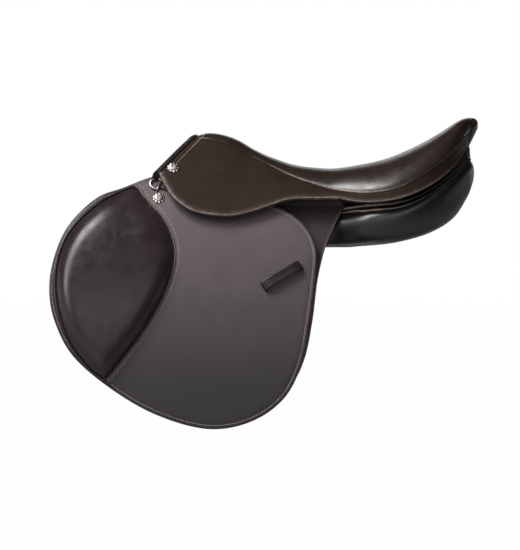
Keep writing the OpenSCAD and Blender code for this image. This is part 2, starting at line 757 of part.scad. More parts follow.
module billet(s, i) color(leather_brown) on_side(s) difference() {
    x = billet_x(i);
    half = billet_w / 2;
    union() {
        plate([[x - half, billet_top_z], [x + half, billet_top_z],
            [x + half, billet_foot_z + tip_h], [x + tip_half, billet_foot_z],
            [x - tip_half, billet_foot_z], [x - half, billet_foot_z + tip_h]], billet_in, billet_out);
        intersection() {
            at_side(x, billet_top_z) rotate([90, 0, 0]) cylinder(h = 60, r = half, center = true, $fn = 64);
            layer(billet_in, billet_out);
        }
    }
    for (k = [1 : hole_count]) at_side(x, hole_z(k)) rotate([90, 0, 0])
        cylinder(h = 60, r = hole_r, center = true, $fn = 32);
}

function hole_z(k) = billet_foot_z + tip_h + (k - 0.25) * hole_pitch;

module girth_guard(s) color(leather_brown) on_side(s) union() {
    low = guard_z - guard_h / 2;
    high = guard_z + guard_h / 2;
    x0 = billet_mid_x - guard_half;
    x1 = billet_mid_x + guard_half;
    cut = guard_corner;
    plate([[x0, low + cut], [x0 + cut, low], [x1 - cut, low], [x1, low + cut], [x1, high], [x0, high]],
        guard_in, guard_out);
    // A loop behind the guard for each strap: its back, and the two sides that join it to the guard
    for (i = [1 : 3]) {
        reach = billet_w / 2 + loop_gap + loop_side;
        loop_plate(billet_x(i), reach, loop_in, loop_out);
        for (e = [-1, 1]) loop_plate(billet_x(i) + e * (reach - loop_side / 2), loop_side / 2, loop_in, guard_in);
    }
}

module loop_plate(x, half, d0, d1) {
    low = guard_z - loop_h / 2;
    high = guard_z + loop_h / 2;
    plate([[x - half, low], [x + half, low], [x + half, high], [x - half, high]], d0, d1);
}

// Dees and nails

module dee_frame() {
    at_side(dee_x, dee_z) translate([0, dee_wire / 2 + seat_gap, 0]) rotate([0, dee_turn, 0]) children();
}

// The dee lies forward of its bar, which runs along local Z
module dee(s) color(steel) on_side(s) dee_frame() {
    r = dee_wire / 2;
    translate([0, 0, -dee_r]) cylinder(h = 2 * dee_r, r = r, $fn = 32);
    for (e = [-1, 1]) {
        translate([0, 0, e * dee_r]) sphere(r = r, $fn = 32);
        translate([0, 0, e * dee_r]) rotate([0, -90, 0]) cylinder(h = dee_reach, r = r, $fn = 32);
    }
    translate([-dee_reach, 0, 0]) rotate([90, -90, 0]) rotate_extrude(angle = 180, $fn = 64)
        translate([dee_r, 0]) circle(r = r, $fn = 32);
}

module dee_chape(s) color(leather_brown) on_side(s) dee_frame() difference() {
    r = dee_wire / 2;
    wall = 1.6;
    union() {
        translate([0, 0, -5]) cylinder(h = 10, r = r + wall, $fn = 48);
        translate([0, -r, -5]) cube([14, 2 * wall, 10]);
    }
    translate([0, 0, -6]) cylinder(h = 12, r = r + 0.1, $fn = 32);
    translate([-20, -r - 20, -10]) cube([40, 20, 20]);
}

// Hole for a nail's shank, through what the nail fixes
module nail_hole() {
    rotate([90, 0, 0]) cylinder(h = 80, r = nail_shank_r + 0.2, center = true, $fn = 32);
}

module saddle_nail(shank) {
    rotate([90, 0, 0]) cylinder(h = shank, r = nail_shank_r, $fn = 32);
    rim = 0.8;
    dimple = 1;
    // A domed head with a dimple in its middle
    rotate([-90, 0, 0]) rotate_extrude($fn = 64) polygon(concat([[0, 0], [nail_head_r, 0]],
        [for (a = [0 : 15 : 75]) [nail_head_r * (0.55 + 0.45 * cos(a)), rim + (nail_dome - rim) * sin(a)]],
        [[nail_head_r * 0.5, nail_dome], [nail_head_r * 0.35, nail_dome - dimple], [0, nail_dome - dimple]]));
}

module flap_nails() color(steel) for (s = [near, off]) on_side(s)
    at_side(flap_nail_x, flap_nail_z) translate([0, seat_gap, 0]) saddle_nail(-point_out + 6);

module head_nails() color(steel) for (s = [near, off]) on_side(s)
    head_nail_frame() translate([0, 2 * seat_gap, 0]) saddle_nail(nail_bite);

tree_frame();
tree_head();
gullet_plate();
head_rivets();
tree_spring(near);  // tree_spring_near
tree_spring(off);  // tree_spring_off
seat_web();
girth_web(near);  // girth_web_near
girth_web(off);  // girth_web_off
stirrup_bar(near);  // stirrup_bar_near
stirrup_bar(off);  // stirrup_bar_off
bar_catch(near);  // bar_catch_near
bar_catch(off);  // bar_catch_off
catch_pins();
bar_rivets();
seat_foam();
seat_cover();
pommel_facing();
cantle_cap();
seat_welt(near);  // seat_welt_near
seat_welt(off);  // seat_welt_off
panel(near);  // panel_near
panel(off);  // panel_off
panel_welt(near);  // panel_welt_near
panel_welt(off);  // panel_welt_off
channel_lining();
flap_top(near);  // flap_top_near
flap_top(off);  // flap_top_off
head_nails();
flap_nails();
dee(near);  // dee_near
dee(off);  // dee_off
dee_chape(near);  // dee_chape_near
dee_chape(off);  // dee_chape_off
sweat_flap(near);  // sweat_flap_near
sweat_flap(off);  // sweat_flap_off
point_pocket(near);  // point_pocket_near
point_pocket(off);  // point_pocket_off
billet(near, 1);  // billet_near_1
billet(near, 2);  // billet_near_2
billet(near, 3);  // billet_near_3
billet(off, 1);  // billet_off_1
billet(off, 2);  // billet_off_2
billet(off, 3);  // billet_off_3
girth_guard(near);  // girth_guard_near
girth_guard(off);  // girth_guard_off
flap(near);  // flap_near
flap(off);  // flap_off
knee_pad(near);  // knee_pad_near
knee_pad(off);  // knee_pad_off
leather_keeper(near);  // leather_keeper_near
leather_keeper(off);  // leather_keeper_off
skirt(near);  // skirt_near
skirt(off);  // skirt_off
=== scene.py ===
"""Looks of the jumping saddle, dressed around its packed construction."""
import logging
import math
from dataclasses import dataclass, field, replace
from enum import Enum
from typing import Callable, Sequence

import bpy
import numpy as np
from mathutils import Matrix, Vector
from mathutils.bvhtree import BVHTree
from mathutils.geometry import delaunay_2d_cdt


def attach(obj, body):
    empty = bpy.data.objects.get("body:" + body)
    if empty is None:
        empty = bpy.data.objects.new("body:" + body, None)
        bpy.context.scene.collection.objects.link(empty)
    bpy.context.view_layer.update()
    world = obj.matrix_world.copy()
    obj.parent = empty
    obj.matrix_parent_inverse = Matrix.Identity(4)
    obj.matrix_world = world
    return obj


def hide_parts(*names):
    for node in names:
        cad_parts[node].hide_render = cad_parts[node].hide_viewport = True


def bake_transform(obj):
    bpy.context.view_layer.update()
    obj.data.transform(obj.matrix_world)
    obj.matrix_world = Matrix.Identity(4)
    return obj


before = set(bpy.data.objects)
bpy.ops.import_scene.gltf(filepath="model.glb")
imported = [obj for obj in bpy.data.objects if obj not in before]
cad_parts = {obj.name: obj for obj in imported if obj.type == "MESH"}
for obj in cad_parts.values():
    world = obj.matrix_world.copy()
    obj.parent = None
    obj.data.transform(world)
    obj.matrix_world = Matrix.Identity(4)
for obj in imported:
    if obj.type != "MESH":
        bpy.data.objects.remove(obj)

LOG = logging.getLogger("saddle")
MM = 0.001
BODY = "saddle_body"
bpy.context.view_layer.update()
SHARP_EDGE = math.radians(62)
CURVE_STEPS = 8
SAME_POINT = 1e-7
LEAST_SQUARE = 1e-18
WHITE = (1.0, 1.0, 1.0, 1.0)
CLOUD = (0.3, 0.7)
CLOUD_CORE = (0.35, 0.65)
Colour = tuple[int, int, int]
Line = tuple[np.ndarray, bool]
Face = Callable[[np.ndarray, np.ndarray], np.ndarray]


class Side(Enum):
    """A side of the saddle, with its direction along Y."""

    NEAR = -1
    OFF = 1

    @property
    def label(self) -> str:
        """The side's name in the names of pieces and bodies."""
        return self.name.lower()


# Lines


def smooth_line(points: Sequence, steps: int, closed: bool = False) -> np.ndarray:
    """Runs a smooth curve through points.

    Args:
        points: The points, of any dimension.
        steps: Steps between two points.
        closed: Whether the curve returns to its start.

    Returns:
        The points of the curve, one a row.
    """
    p = np.asarray(points, float)
    k = len(p)
    rows = []
    for i in range(k if closed else k - 1):
        at = [(i + j) % k if closed else min(max(i + j, 0), k - 1) for j in (-1, 0, 1, 2)]
        a, b, c, d = (p[j] for j in at)
        for t in np.arange(steps) / steps:
            rows.append(0.5 * (2 * b + (c - a) * t + (2 * a - 5 * b + 4 * c - d) * t**2
                               + (3 * b - a - 3 * c + d) * t**3))
    if not closed:
        rows.append(p[-1])
    return np.array(rows)


def bezier(a: np.ndarray, b: np.ndarray, c: np.ndarray, d: np.ndarray, t: float) -> np.ndarray:
    """The point at share t of a cubic curve."""
    return a * (1 - t)**3 + 3 * b * t * (1 - t)**2 + 3 * c * t * t * (1 - t) + d * t**3


def lengths(points: np.ndarray) -> np.ndarray:
    """Length along a line of points, at each of them."""
    return np.concatenate([[0], np.cumsum(np.linalg.norm(np.diff(points, axis=0), axis=1))])


def between(marks: np.ndarray | float, at: np.ndarray, rows: np.ndarray) -> np.ndarray:
    """Rows of numbers at the marks, read between rows that stand at other marks."""
    return np.stack([np.interp(marks, at, rows[:, k]) for k in range(rows.shape[1])], axis=-1)


def squarish(wave: np.ndarray | float, power: float) -> np.ndarray | float:
    """A sine or cosine drawn out to the corners by a power below 1."""
    return np.sign(wave) * np.abs(wave)**power


def even_line(points: np.ndarray, step: float, closed: bool = False) -> np.ndarray:
    """Spaces points evenly along a line of points.

    Args:
        points: The line's points, one a row.
        step: About how far apart the new points are.
        closed: Whether the line returns to its start.

    Returns:
        The new points.
    """
    p = np.vstack([points, points[:1]]) if closed else points
    run = lengths(p)
    count = max(int(round(run[-1] / step)), 2)
    line = between(np.linspace(0, run[-1], count + 1), run, p)
    return line[:-1] if closed else line


def leftwards(run: np.ndarray) -> np.ndarray:
    """Directions of length 1 to the left of a plane line's steps."""
    way = run / np.linalg.norm(run, axis=1)[:, None]
    return np.stack([-way[:, 1], way[:, 0]], axis=1)


def inset(outline: np.ndarray, distance: float, closed: bool = True) -> np.ndarray:
    """Moves a plane line to its left, which is inwards on a counterclockwise outline.

    Args:
        outline: The line's points.
        distance: How far it moves.
        closed: Whether the line returns to its start.

    Returns:
        The moved points.
    """
    if closed:
        run = np.roll(outline, -1, axis=0) - np.roll(outline, 1, axis=0)
    else:
        run = np.gradient(outline, axis=0)
    return outline + distance * leftwards(run)


def counterclockwise(outline: np.ndarray) -> np.ndarray:
    """Turns an outline so that its inside is on its left.

    Args:
        outline: Points of a closed plane outline.

    Returns:
        The points, in that order.
    """
    x, z = outline[:, 0], outline[:, 1]
    area = np.sum(x * np.roll(z, -1) - z * np.roll(x, -1))
    return outline if area > 0 else outline[::-1].copy()


def inside(points: np.ndarray, outline: np.ndarray) -> np.ndarray:
    """Tells which points lie in a closed outline.

    Args:
        points: Plane points, one a row.
        outline: Points of the outline.

    Returns:
        True for each point inside.
    """
    x, z = points[:, :1], points[:, 1:2]
    x0, z0 = outline[:, 0], outline[:, 1]
    x1, z1 = np.roll(x0, -1), np.roll(z0, -1)
    crosses = (z0 > z) != (z1 > z)
    with np.errstate(divide="ignore", invalid="ignore"):
        at = x0 + (z - z0) * (x1 - x0) / (z1 - z0)
    return np.sum(crosses & (x < at), axis=1) % 2 == 1


def edge_distance(points: np.ndarray, line: np.ndarray, closed: bool = True) -> np.ndarray:
    """Measures how far points are from a line of points.

    Args:
        points: Points of any dimension, one a row.
        line: Points of the line.
        closed: Whether the line returns to its start.

    Returns:
        The distance of each point.
    """
    ends = np.roll(line, -1, axis=0) if closed else line[1:]
    starts = line if closed else line[:-1]
    run = ends - starts
    square = np.maximum(np.sum(run * run, axis=1), LEAST_SQUARE)
    best = np.full(len(points), np.inf)
    for a, r, q in zip(starts, run, square):
        t = np.clip((points - a) @ r / q, 0, 1)
        best = np.minimum(best, np.linalg.norm(points - a - t[:, None] * r, axis=1))
    return best


# Meshes


def put(name: str, data: bpy.types.ID) -> bpy.types.Object:
    """Puts an object into the scene, at the origin.

    Args:
        name: Name of the object.
        data: Its mesh, lamp or camera.

    Returns:
        The object.
    """
    made = bpy.data.objects.new(name, data)
    bpy.context.scene.collection.objects.link(made)
    return made


def make_piece(name: str, points: np.ndarray, faces: Sequence, flip: bool = False) -> bpy.types.Object:
    """Makes a smooth mesh object at the origin.

    Args:
        name: Name of the piece.
        points: Its points, in metres.
        faces: Its faces, as lists of point numbers.
        flip: Whether to turn the faces round.

    Returns:
        The object, linked to the scene.
    """
    mesh = bpy.data.meshes.new(name)
    mesh.from_pydata([tuple(p) for p in points], [], [tuple(f)[::-1] if flip else tuple(f) for f in faces])
    mesh.polygons.foreach_set("use_smooth", [True] * len(mesh.polygons))
    mesh.set_sharp_from_angle(angle=SHARP_EDGE)
    return put(name, mesh)


def grid_faces(rows: int, columns: int, ring: bool = False, start: int = 0) -> list[tuple[int, ...]]:
    """Lists the faces of a grid of points that is kept row by row.

    Args:
        rows: Rows of points.
        columns: Points in a row.
        ring: Whether the last column joins the first.
        start: Number of the first point.

    Returns:
        The faces, as point numbers.
    """
    return [
        (start + i * columns + j, start + i * columns + (j + 1) % columns,
         start + (i + 1) * columns + (j + 1) % columns, start + (i + 1) * columns + j)
        for i in range(rows - 1) for j in range(columns if ring else columns - 1)
    ]


def inwards(points: np.ndarray, faces: Sequence) -> bool:
    """Tells from the sign of its volume whether a closed mesh is inside out.

    Args:
        points: Its points.
        faces: Its faces, as point numbers.

    Returns:
        True if the faces look inwards.
    """
    corners = np.array([(f[0], f[k], f[k + 1]) for f in faces for k in range(1, len(f) - 1)])
    a, b, c = points[corners[:, 0]], points[corners[:, 1]], points[corners[:, 2]]
    return float(np.sum(a * np.cross(b, c))) < 0


def slab_piece(name: str, outer: np.ndarray, inner: np.ndarray) -> bpy.types.Object:
    """Makes a closed piece between two grids of points.

    Args:
        name: Name of the piece.
        outer: Points of one face, by row and column.
        inner: Points of the other face.

    Returns:
        The piece.
    """
    n, m = outer.shape[:2]
    under = n * m
    faces = grid_faces(n, m) + [f[::-1] for f in grid_faces(n, m, start=under)]
    rim = [i * m for i in range(n)] + [(n - 1) * m + j for j in range(1, m)]
    rim += [i * m + m - 1 for i in range(n - 2, -1, -1)] + list(range(m - 2, 0, -1))
    for a, b in zip(rim, rim[1:] + rim[:1]):
        faces.append((a, b, under + b, under + a))
    points = np.concatenate([outer.reshape(-1, 3), inner.reshape(-1, 3)])
    return make_piece(name, points, faces, inwards(points, faces))


def loft_piece(name: str, rings: np.ndarray) -> bpy.types.Object:
    """Makes a closed piece through a stack of rings, capped at both ends.

    Args:
        name: Name of the piece.
        rings: Points of the rings, by ring and place.

    Returns:
        The piece.
    """
    n, m = rings.shape[:2]
    points = np.concatenate([rings.reshape(-1, 3), rings[0].mean(0)[None], rings[-1].mean(0)[None]])
    first, last = n * m, n * m + 1
    faces = grid_faces(n, m, ring=True)
    faces += [(first, (j + 1) % m, j) for j in range(m)]
    faces += [(last, (n - 1) * m + j, (n - 1) * m + (j + 1) % m) for j in range(m)]
    return make_piece(name, points, faces, inwards(points, faces))


def sheet_piece(name: str, grid: np.ndarray, thick: float, flip: bool) -> bpy.types.Object:
    """Makes a sheet through a grid of points, which gets its thickness when it settles.

    Args:
        name: Name of the piece.
        grid: Points of its outer face, by row and column.
        thick: Its thickness.
        flip: Whether to turn the faces round.

    Returns:
        The piece, with a live modifier.
    """
    piece = make_piece(name, grid.reshape(-1, 3), grid_faces(*grid.shape[:2]), flip)
    wall = piece.modifiers.new("thick", "SOLIDIFY")
    wall.thickness = thick
    wall.offset = -1
    return piece


def settle(piece: bpy.types.Object) -> bpy.types.Object:
    """Turns a piece's modifiers into plain mesh.

    Args:
        piece: The piece.

    Returns:
        The same piece.
    """
    graph = bpy.context.evaluated_depsgraph_get()
    mesh = bpy.data.meshes.new_from_object(piece.evaluated_get(graph))
    old = piece.data
    piece.modifiers.clear()
    piece.data = mesh
    bpy.data.meshes.remove(old)
    return piece


def mesh_points(mesh: bpy.types.Mesh) -> np.ndarray:
    """Reads the points of a mesh.

    Args:
        mesh: The mesh.

    Returns:
        Its points, one a row.
    """
    flat = np.empty(len(mesh.vertices) * 3, np.float32)
    mesh.vertices.foreach_get("co", flat)
    return flat.reshape(-1, 3).astype(float)


def coordinates(piece: bpy.types.Object) -> np.ndarray:
    """The points of a piece's mesh."""
    return mesh_points(piece.data)


def mark_wear_and_highlight(piece: bpy.types.Object, wear_and_highlight: np.ndarray) -> None:
    """Keeps how worn each point is, from 0 to 1, for the leather finish; on skirt hems and welts the mark
    also paints a highlight.
    """
    layer = piece.data.attributes.new("wear_and_highlight", "FLOAT", "POINT")
    layer.data.foreach_set("value", wear_and_highlight.astype(np.float32))


@dataclass(frozen=True)
class WeltWearAndHighlight:
    """Lighter tone of a welt along a stretch of the saddle: wear where the rider sits, and partly a painted
    highlight that fades towards the rear.
    """

    start: float
    rise: float = 30 * MM
    end: float = 120 * MM
    fade: float = 60 * MM

    def mark(self, piece: bpy.types.Object) -> None:
        """Marks the lighter stretch, wear and painted highlight, on a piece.

        Args:
            piece: The welt.
        """
        x = coordinates(piece)[:, 0]
        rise = np.clip((x - self.start) / self.rise, 0, 1)
        mark_wear_and_highlight(piece, rise * np.clip((self.end - x) / self.fade, 0, 1))


# The saddle's side curve


@dataclass(frozen=True)
class SideCurve:
    """The curve that flap, skirt, straps and sweat flap follow down the side, as in the construction."""

    radius: float = 0.85
    top: tuple[float, float] = (0.115, 0.060)
    foot: tuple[float, float] = (0.240, -0.266)

    @property
    def axis(self) -> np.ndarray:
        """Finds the curve's middle.

        Returns:
            The middle as [y, z], on the off side.
        """
        top, foot = np.array(self.top), np.array(self.foot)
        chord = foot - top
        rise = math.sqrt(self.radius**2 - chord @ chord / 4)
        return (top + foot) / 2 - rise * np.array([-chord[1], chord[0]]) / np.linalg.norm(chord)

    def y(self, z: np.ndarray | float, d: np.ndarray | float) -> np.ndarray:
        """Half width at height z, d outside the flap's face."""
        return self.axis[0] + np.sqrt((self.radius + d)**2 - (z - self.axis[1])**2)

    def lay(self, xz: np.ndarray, d: np.ndarray | float, side: Side) -> np.ndarray:
        """Lays side view points on the curve, d outside the flap's face."""
        xz = np.atleast_2d(xz)
        return np.stack([xz[:, 0], side.value * self.y(xz[:, 1], d), xz[:, 1]], axis=1)

    def normal(self, z: float, side: Side) -> np.ndarray:
        """Outward direction at height z."""
        a = math.asin((z - self.axis[1]) / self.radius)
        return np.array([0, side.value * math.cos(a), math.sin(a)])

    def local(self, x: float, z: float, side: Side) -> Callable[[np.ndarray], np.ndarray]:
        """Sets up a frame on the curve: X to the rear, Y outwards, Z up the slope.

        Args:
            x: Place along the saddle.
            z: Height of the place.
            side: Side of the saddle.

        Returns:
            A function from local points to points in the frame.
        """
        out = self.normal(z, side)
        up = np.array([0, -side.value * out[2], abs(out[1])])
        base = self.lay(np.array([[x, z]]), 0, side)[0]
        return lambda p: base + p[:, :1] * np.array([1, 0, 0]) + p[:, 1:2] * out + p[:, 2:3] * up


CURVE = SideCurve()


@dataclass(frozen=True)
class Bend:
    """A line that leather bends on, between the saddle and a part that lifts."""

    ends: tuple[tuple[float, float], tuple[float, float]]
    d: float
    part: str
    half: float = 9 * MM

    def height(self, x: float) -> float:
        """Height of the line at x."""
        (x0, z0), (x1, z1) = self.ends
        return z0 + (x - x0) * (z1 - z0) / (x1 - x0)

    def hang(self, piece: bpy.types.Object, side: Side) -> None:
        """Bakes a piece's transform into its mesh; the bend's direction is worked out but not applied.

        Args:
            piece: The piece.
            side: Its side of the saddle.
        """
        a, b = CURVE.lay(np.array(self.ends), self.d, side)
        along = (b - a) / np.linalg.norm(b - a)
        middle = (a + b) / 2
        down = np.cross(along, CURVE.normal(middle[2], side))
        down *= -np.sign(down[2]) / np.linalg.norm(down)
        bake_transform(piece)


FLAP_BEND = Bend(((-0.279, 0.062), (-0.043, -0.020)), 0.0, "flap")
SKIRT_BEND = Bend(((-0.250, 0.104), (-0.002, 0.074)), 13 * MM, "skirt", 5 * MM)


# Finishes


def linear(tone: Colour) -> tuple[float, float, float, float]:
    """A written colour as the shader wants it."""
    parts = [c / 255 for c in tone]
    return (*[c / 12.92 if c <= 0.04045 else ((c + 0.055) / 1.055)**2.4 for c in parts], 1.0)


class NodeSheet:
    """A node tree whose nodes are added one by one."""

    def __init__(self, tree: bpy.types.NodeTree) -> None:
        """Starts on an empty tree."""
        self.tree = tree
        tree.nodes.clear()

    def fill(self, socket: bpy.types.NodeSocket, value: object) -> None:
        """Links an input to another node's socket, or sets its value.

        Args:
            socket: The input.
            value: The socket to link, or the value.
        """
        if isinstance(value, bpy.types.NodeSocket):
            self.tree.links.new(value, socket)
        else:
            socket.default_value = value

    def add(self, kind: str, inputs: dict | None = None, **settings: object) -> bpy.types.Node:
        """Adds a node.

        Args:
            kind: The node's type.
            inputs: Values or linked sockets for its inputs, by name or number.
            settings: The node's own settings.

        Returns:
            The node.
        """
        node = self.tree.nodes.new(kind)
        for key, value in settings.items():
            setattr(node, key, value)
        for key, value in (inputs or {}).items():
            self.fill(node.inputs[key], value)
        return node

    def math(self, operation: str, a: object, b: object) -> bpy.types.NodeSocket:
        """One sum of two values."""
        return self.add("ShaderNodeMath", {0: a, 1: b}, operation=operation).outputs[0]

    def seen(self, *rays: str) -> bpy.types.NodeSocket:
        """Tells kinds of rays apart.

        Args:
            rays: Kinds of rays that count beside camera rays.

        Returns:
            A socket that is 1 for these rays.
        """
        path = self.add("ShaderNodeLightPath").outputs
        value = path["Is Camera Ray"]
        for name in rays:
            value = self.math("MAXIMUM", value, path[name])
        return value


class ShaderSheet(NodeSheet):
    """The nodes of a piece's material."""

    def __init__(self, name: str) -> None:
        """Starts a material with a plain shader.

        Args:
            name: Name of the material.
        """
        self.material = bpy.data.materials.new(name)
        self.material.use_nodes = True
        super().__init__(self.material.node_tree)
        self.shader = self.add("ShaderNodeBsdfPrincipled")
        self.add("ShaderNodeOutputMaterial", {"Surface": self.shader.outputs["BSDF"]})
        self.place = self.add("ShaderNodeTexCoord").outputs["Object"]

    def noise(self, scale: float, detail: float = 3.0) -> bpy.types.NodeSocket:
        """Soft cloudy pattern of a scale, in object space."""
        inputs = {"Vector": self.place, "Scale": scale, "Detail": detail}
        return self.add("ShaderNodeTexNoise", inputs).outputs["Fac"]

    def streaks(self, scale: tuple[float, float, float], size: float, detail: float) -> bpy.types.NodeSocket:
        """Makes a cloudy pattern that is drawn out along an axis.

        Args:
            scale: Scale along each axis.
            size: Scale of the pattern itself.
            detail: How fine it gets.

        Returns:
            The pattern's socket.
        """
        drawn = self.add("ShaderNodeMapping", {"Vector": self.place, "Scale": scale}).outputs[0]
        inputs = {"Vector": drawn, "Scale": size, "Detail": detail}
        return self.add("ShaderNodeTexNoise", inputs).outputs["Fac"]

    def ramp(self, value: bpy.types.NodeSocket, low: float, high: float,
             to: Sequence[float] = (0.0, 1.0)) -> bpy.types.NodeSocket:
        """Maps a value from low..high to a pair of values."""
        return self.add("ShaderNodeMapRange", {0: value, 1: low, 2: high, 3: to[0], 4: to[1]}).outputs[0]

    def mix(self, share: bpy.types.NodeSocket, a: object, b: object) -> bpy.types.NodeSocket:
        """Mixes two colours by a share."""
        return self.add("ShaderNodeMix", {0: share, 6: a, 7: b}, data_type="RGBA").outputs[2]

    def bump(self, height: bpy.types.NodeSocket, strength: float, depth: float) -> None:
        """Raises the surface by a height pattern."""
        node = self.add("ShaderNodeBump", {"Strength": strength, "Distance": depth, "Height": height})
        self.fill(self.shader.inputs["Normal"], node.outputs["Normal"])

    def set(self, **values: object) -> None:
        """Sets the shader's sockets; underscores stand for spaces."""
        for key, value in values.items():
            self.fill(self.shader.inputs[key.replace("_", " ")], value)


@dataclass(frozen=True)
class Leather:
    """Dyed leather: mottled tone, fine grain, another tone where it wears, which on skirt hems and welts is
    partly a painted highlight, and, where a low tone is given, painted shade towards the bottom.
    """

    name: str
    tone: Colour
    deep: Colour
    worn_and_highlit: Colour
    roughness: float
    specular: float
    coat: float = 0.0
    grain: float = 1100.0
    depth: float = 0.18
    # low and fade paint shade: the tone darkens towards low between the fade's two heights, darkest at the
    # bottom.
    low: Colour | None = None
    fade: tuple[float, float] = (-0.2, 0.07)
    coat_roughness: float = 0.16
    relief: float = 0.4 * MM
    mottle: tuple[float, float] = (0.32, 0.68)
    mottle_scale: float = 26
    rub_scale: float = 140
    rub_least: float = 0.35
    pore_scale: float = 420
    pore_wall: float = 0.25
    polish_scale: float = 70
    polish: tuple[float, float] = (-0.05, 0.06)

    def material(self) -> bpy.types.Material:
        """Makes the material.

        Returns:
            The material.
        """
        s = ShaderSheet(self.name)
        mottle = s.ramp(s.noise(self.mottle_scale, detail=4), *self.mottle)
        tone = s.mix(mottle, linear(self.deep), linear(self.tone))
        # Painted shade: the tone gets darker towards the bottom, by height.
        if self.low:
            height = s.add("ShaderNodeSeparateXYZ", {"Vector": s.place}).outputs[2]
            tone = s.mix(s.ramp(height, *self.fade), linear(self.low), tone)
        # The wear mask lightens worn edges, and on skirt hems and welts it also paints highlights.
        wear_and_highlight = s.add("ShaderNodeAttribute", attribute_name="wear_and_highlight").outputs["Fac"]
        patches = s.ramp(s.noise(self.rub_scale), *CLOUD, (self.rub_least, 1.0))
        rubbed_and_highlit = s.math("MULTIPLY", wear_and_highlight, patches)
        cells = s.add("ShaderNodeTexVoronoi", {"Vector": s.place, "Scale": self.grain},
                      feature="DISTANCE_TO_EDGE").outputs["Distance"]
        pores = s.math("ADD", s.ramp(cells, 0.0, self.pore_wall), s.noise(self.pore_scale))
        polish = s.ramp(s.noise(self.polish_scale), *CLOUD, [self.roughness + p for p in self.polish])
        s.set(Base_Color=s.mix(rubbed_and_highlit, tone, linear(self.worn_and_highlit)), Roughness=polish,
              Specular_IOR_Level=self.specular, Coat_Weight=self.coat, Coat_Roughness=self.coat_roughness)
        s.bump(pores, self.depth, self.relief)
        return s.material


@dataclass(frozen=True)
class Metal:
    """Polished or rolled metal with fine scratches."""

    name: str
    tone: Colour
    roughness: float
    dull: float = 0.8
    scratches: tuple[float, float, float] = (900.0, 900.0, 90.0)
    cloud_scale: float = 120
    polish: tuple[float, float] = (-0.05, 0.1)
    depth: float = 0.05
    relief: float = 0.1 * MM

    def material(self) -> bpy.types.Material:
        """Makes the material.

        Returns:
            The material.
        """
        s = ShaderSheet(self.name)
        scratch = s.streaks(self.scratches, size=1.0, detail=2.0)
        dull = tuple(int(c * self.dull) for c in self.tone)
        cloud = s.ramp(s.noise(self.cloud_scale), *CLOUD_CORE)
        polish = s.ramp(scratch, *CLOUD, [self.roughness + p for p in self.polish])
        s.set(Base_Color=s.mix(cloud, linear(dull), linear(self.tone)), Metallic=1.0, Roughness=polish)
        s.bump(scratch, self.depth, self.relief)
        return s.material


@dataclass(frozen=True)
class Beech:
    """Laminated beech of the tree."""

    name: str
    tone: Colour
    deep: Colour
    fibres: tuple[float, float, float] = (6.0, 60.0, 60.0)
    roughness: tuple[float, float] = (0.45, 0.6)
    specular: float = 0.3
    depth: float = 0.15
    relief: float = 0.4 * MM

    def material(self) -> bpy.types.Material:
        """Makes the material.

        Returns:
            The material.
        """
        s = ShaderSheet(self.name)
        grain = s.streaks(self.fibres, size=6.0, detail=5.0)
        s.set(Base_Color=s.mix(s.ramp(grain, *CLOUD_CORE), linear(self.deep), linear(self.tone)),
              Roughness=s.ramp(grain, *CLOUD, self.roughness), Specular_IOR_Level=self.specular)
        s.bump(grain, self.depth, self.relief)
        return s.material


@dataclass(frozen=True)
class Woven:
    """Woven linen webbing or lining."""

    name: str
    tone: Colour
    deep: Colour
    threads: float = 520.0
    fuzz_scale: float = 300
    roughness: tuple[float, float] = (0.75, 0.9)
    specular: float = 0.2
    depth: float = 0.3
    relief: float = 0.3 * MM

    def material(self) -> bpy.types.Material:
        """Makes the material.

        Returns:
            The material.
        """
        s = ShaderSheet(self.name)
        parts = s.add("ShaderNodeSeparateXYZ", {"Vector": s.place}).outputs
        turns = self.threads * 2 * math.pi
        rows = [s.math("SINE", s.math("MULTIPLY", parts[k], turns), 0.0) for k in (0, 1, 2)]
        weave = s.math("MULTIPLY", rows[0], s.math("ADD", rows[1], rows[2]))
        share = s.ramp(weave, -1.0, 1.0)
        fuzz = s.ramp(s.noise(self.fuzz_scale, detail=2), *CLOUD, self.roughness)
        s.set(Base_Color=s.mix(share, linear(self.deep), linear(self.tone)), Roughness=fuzz,
              Specular_IOR_Level=self.specular)
        s.bump(share, self.depth, self.relief)
        return s.material


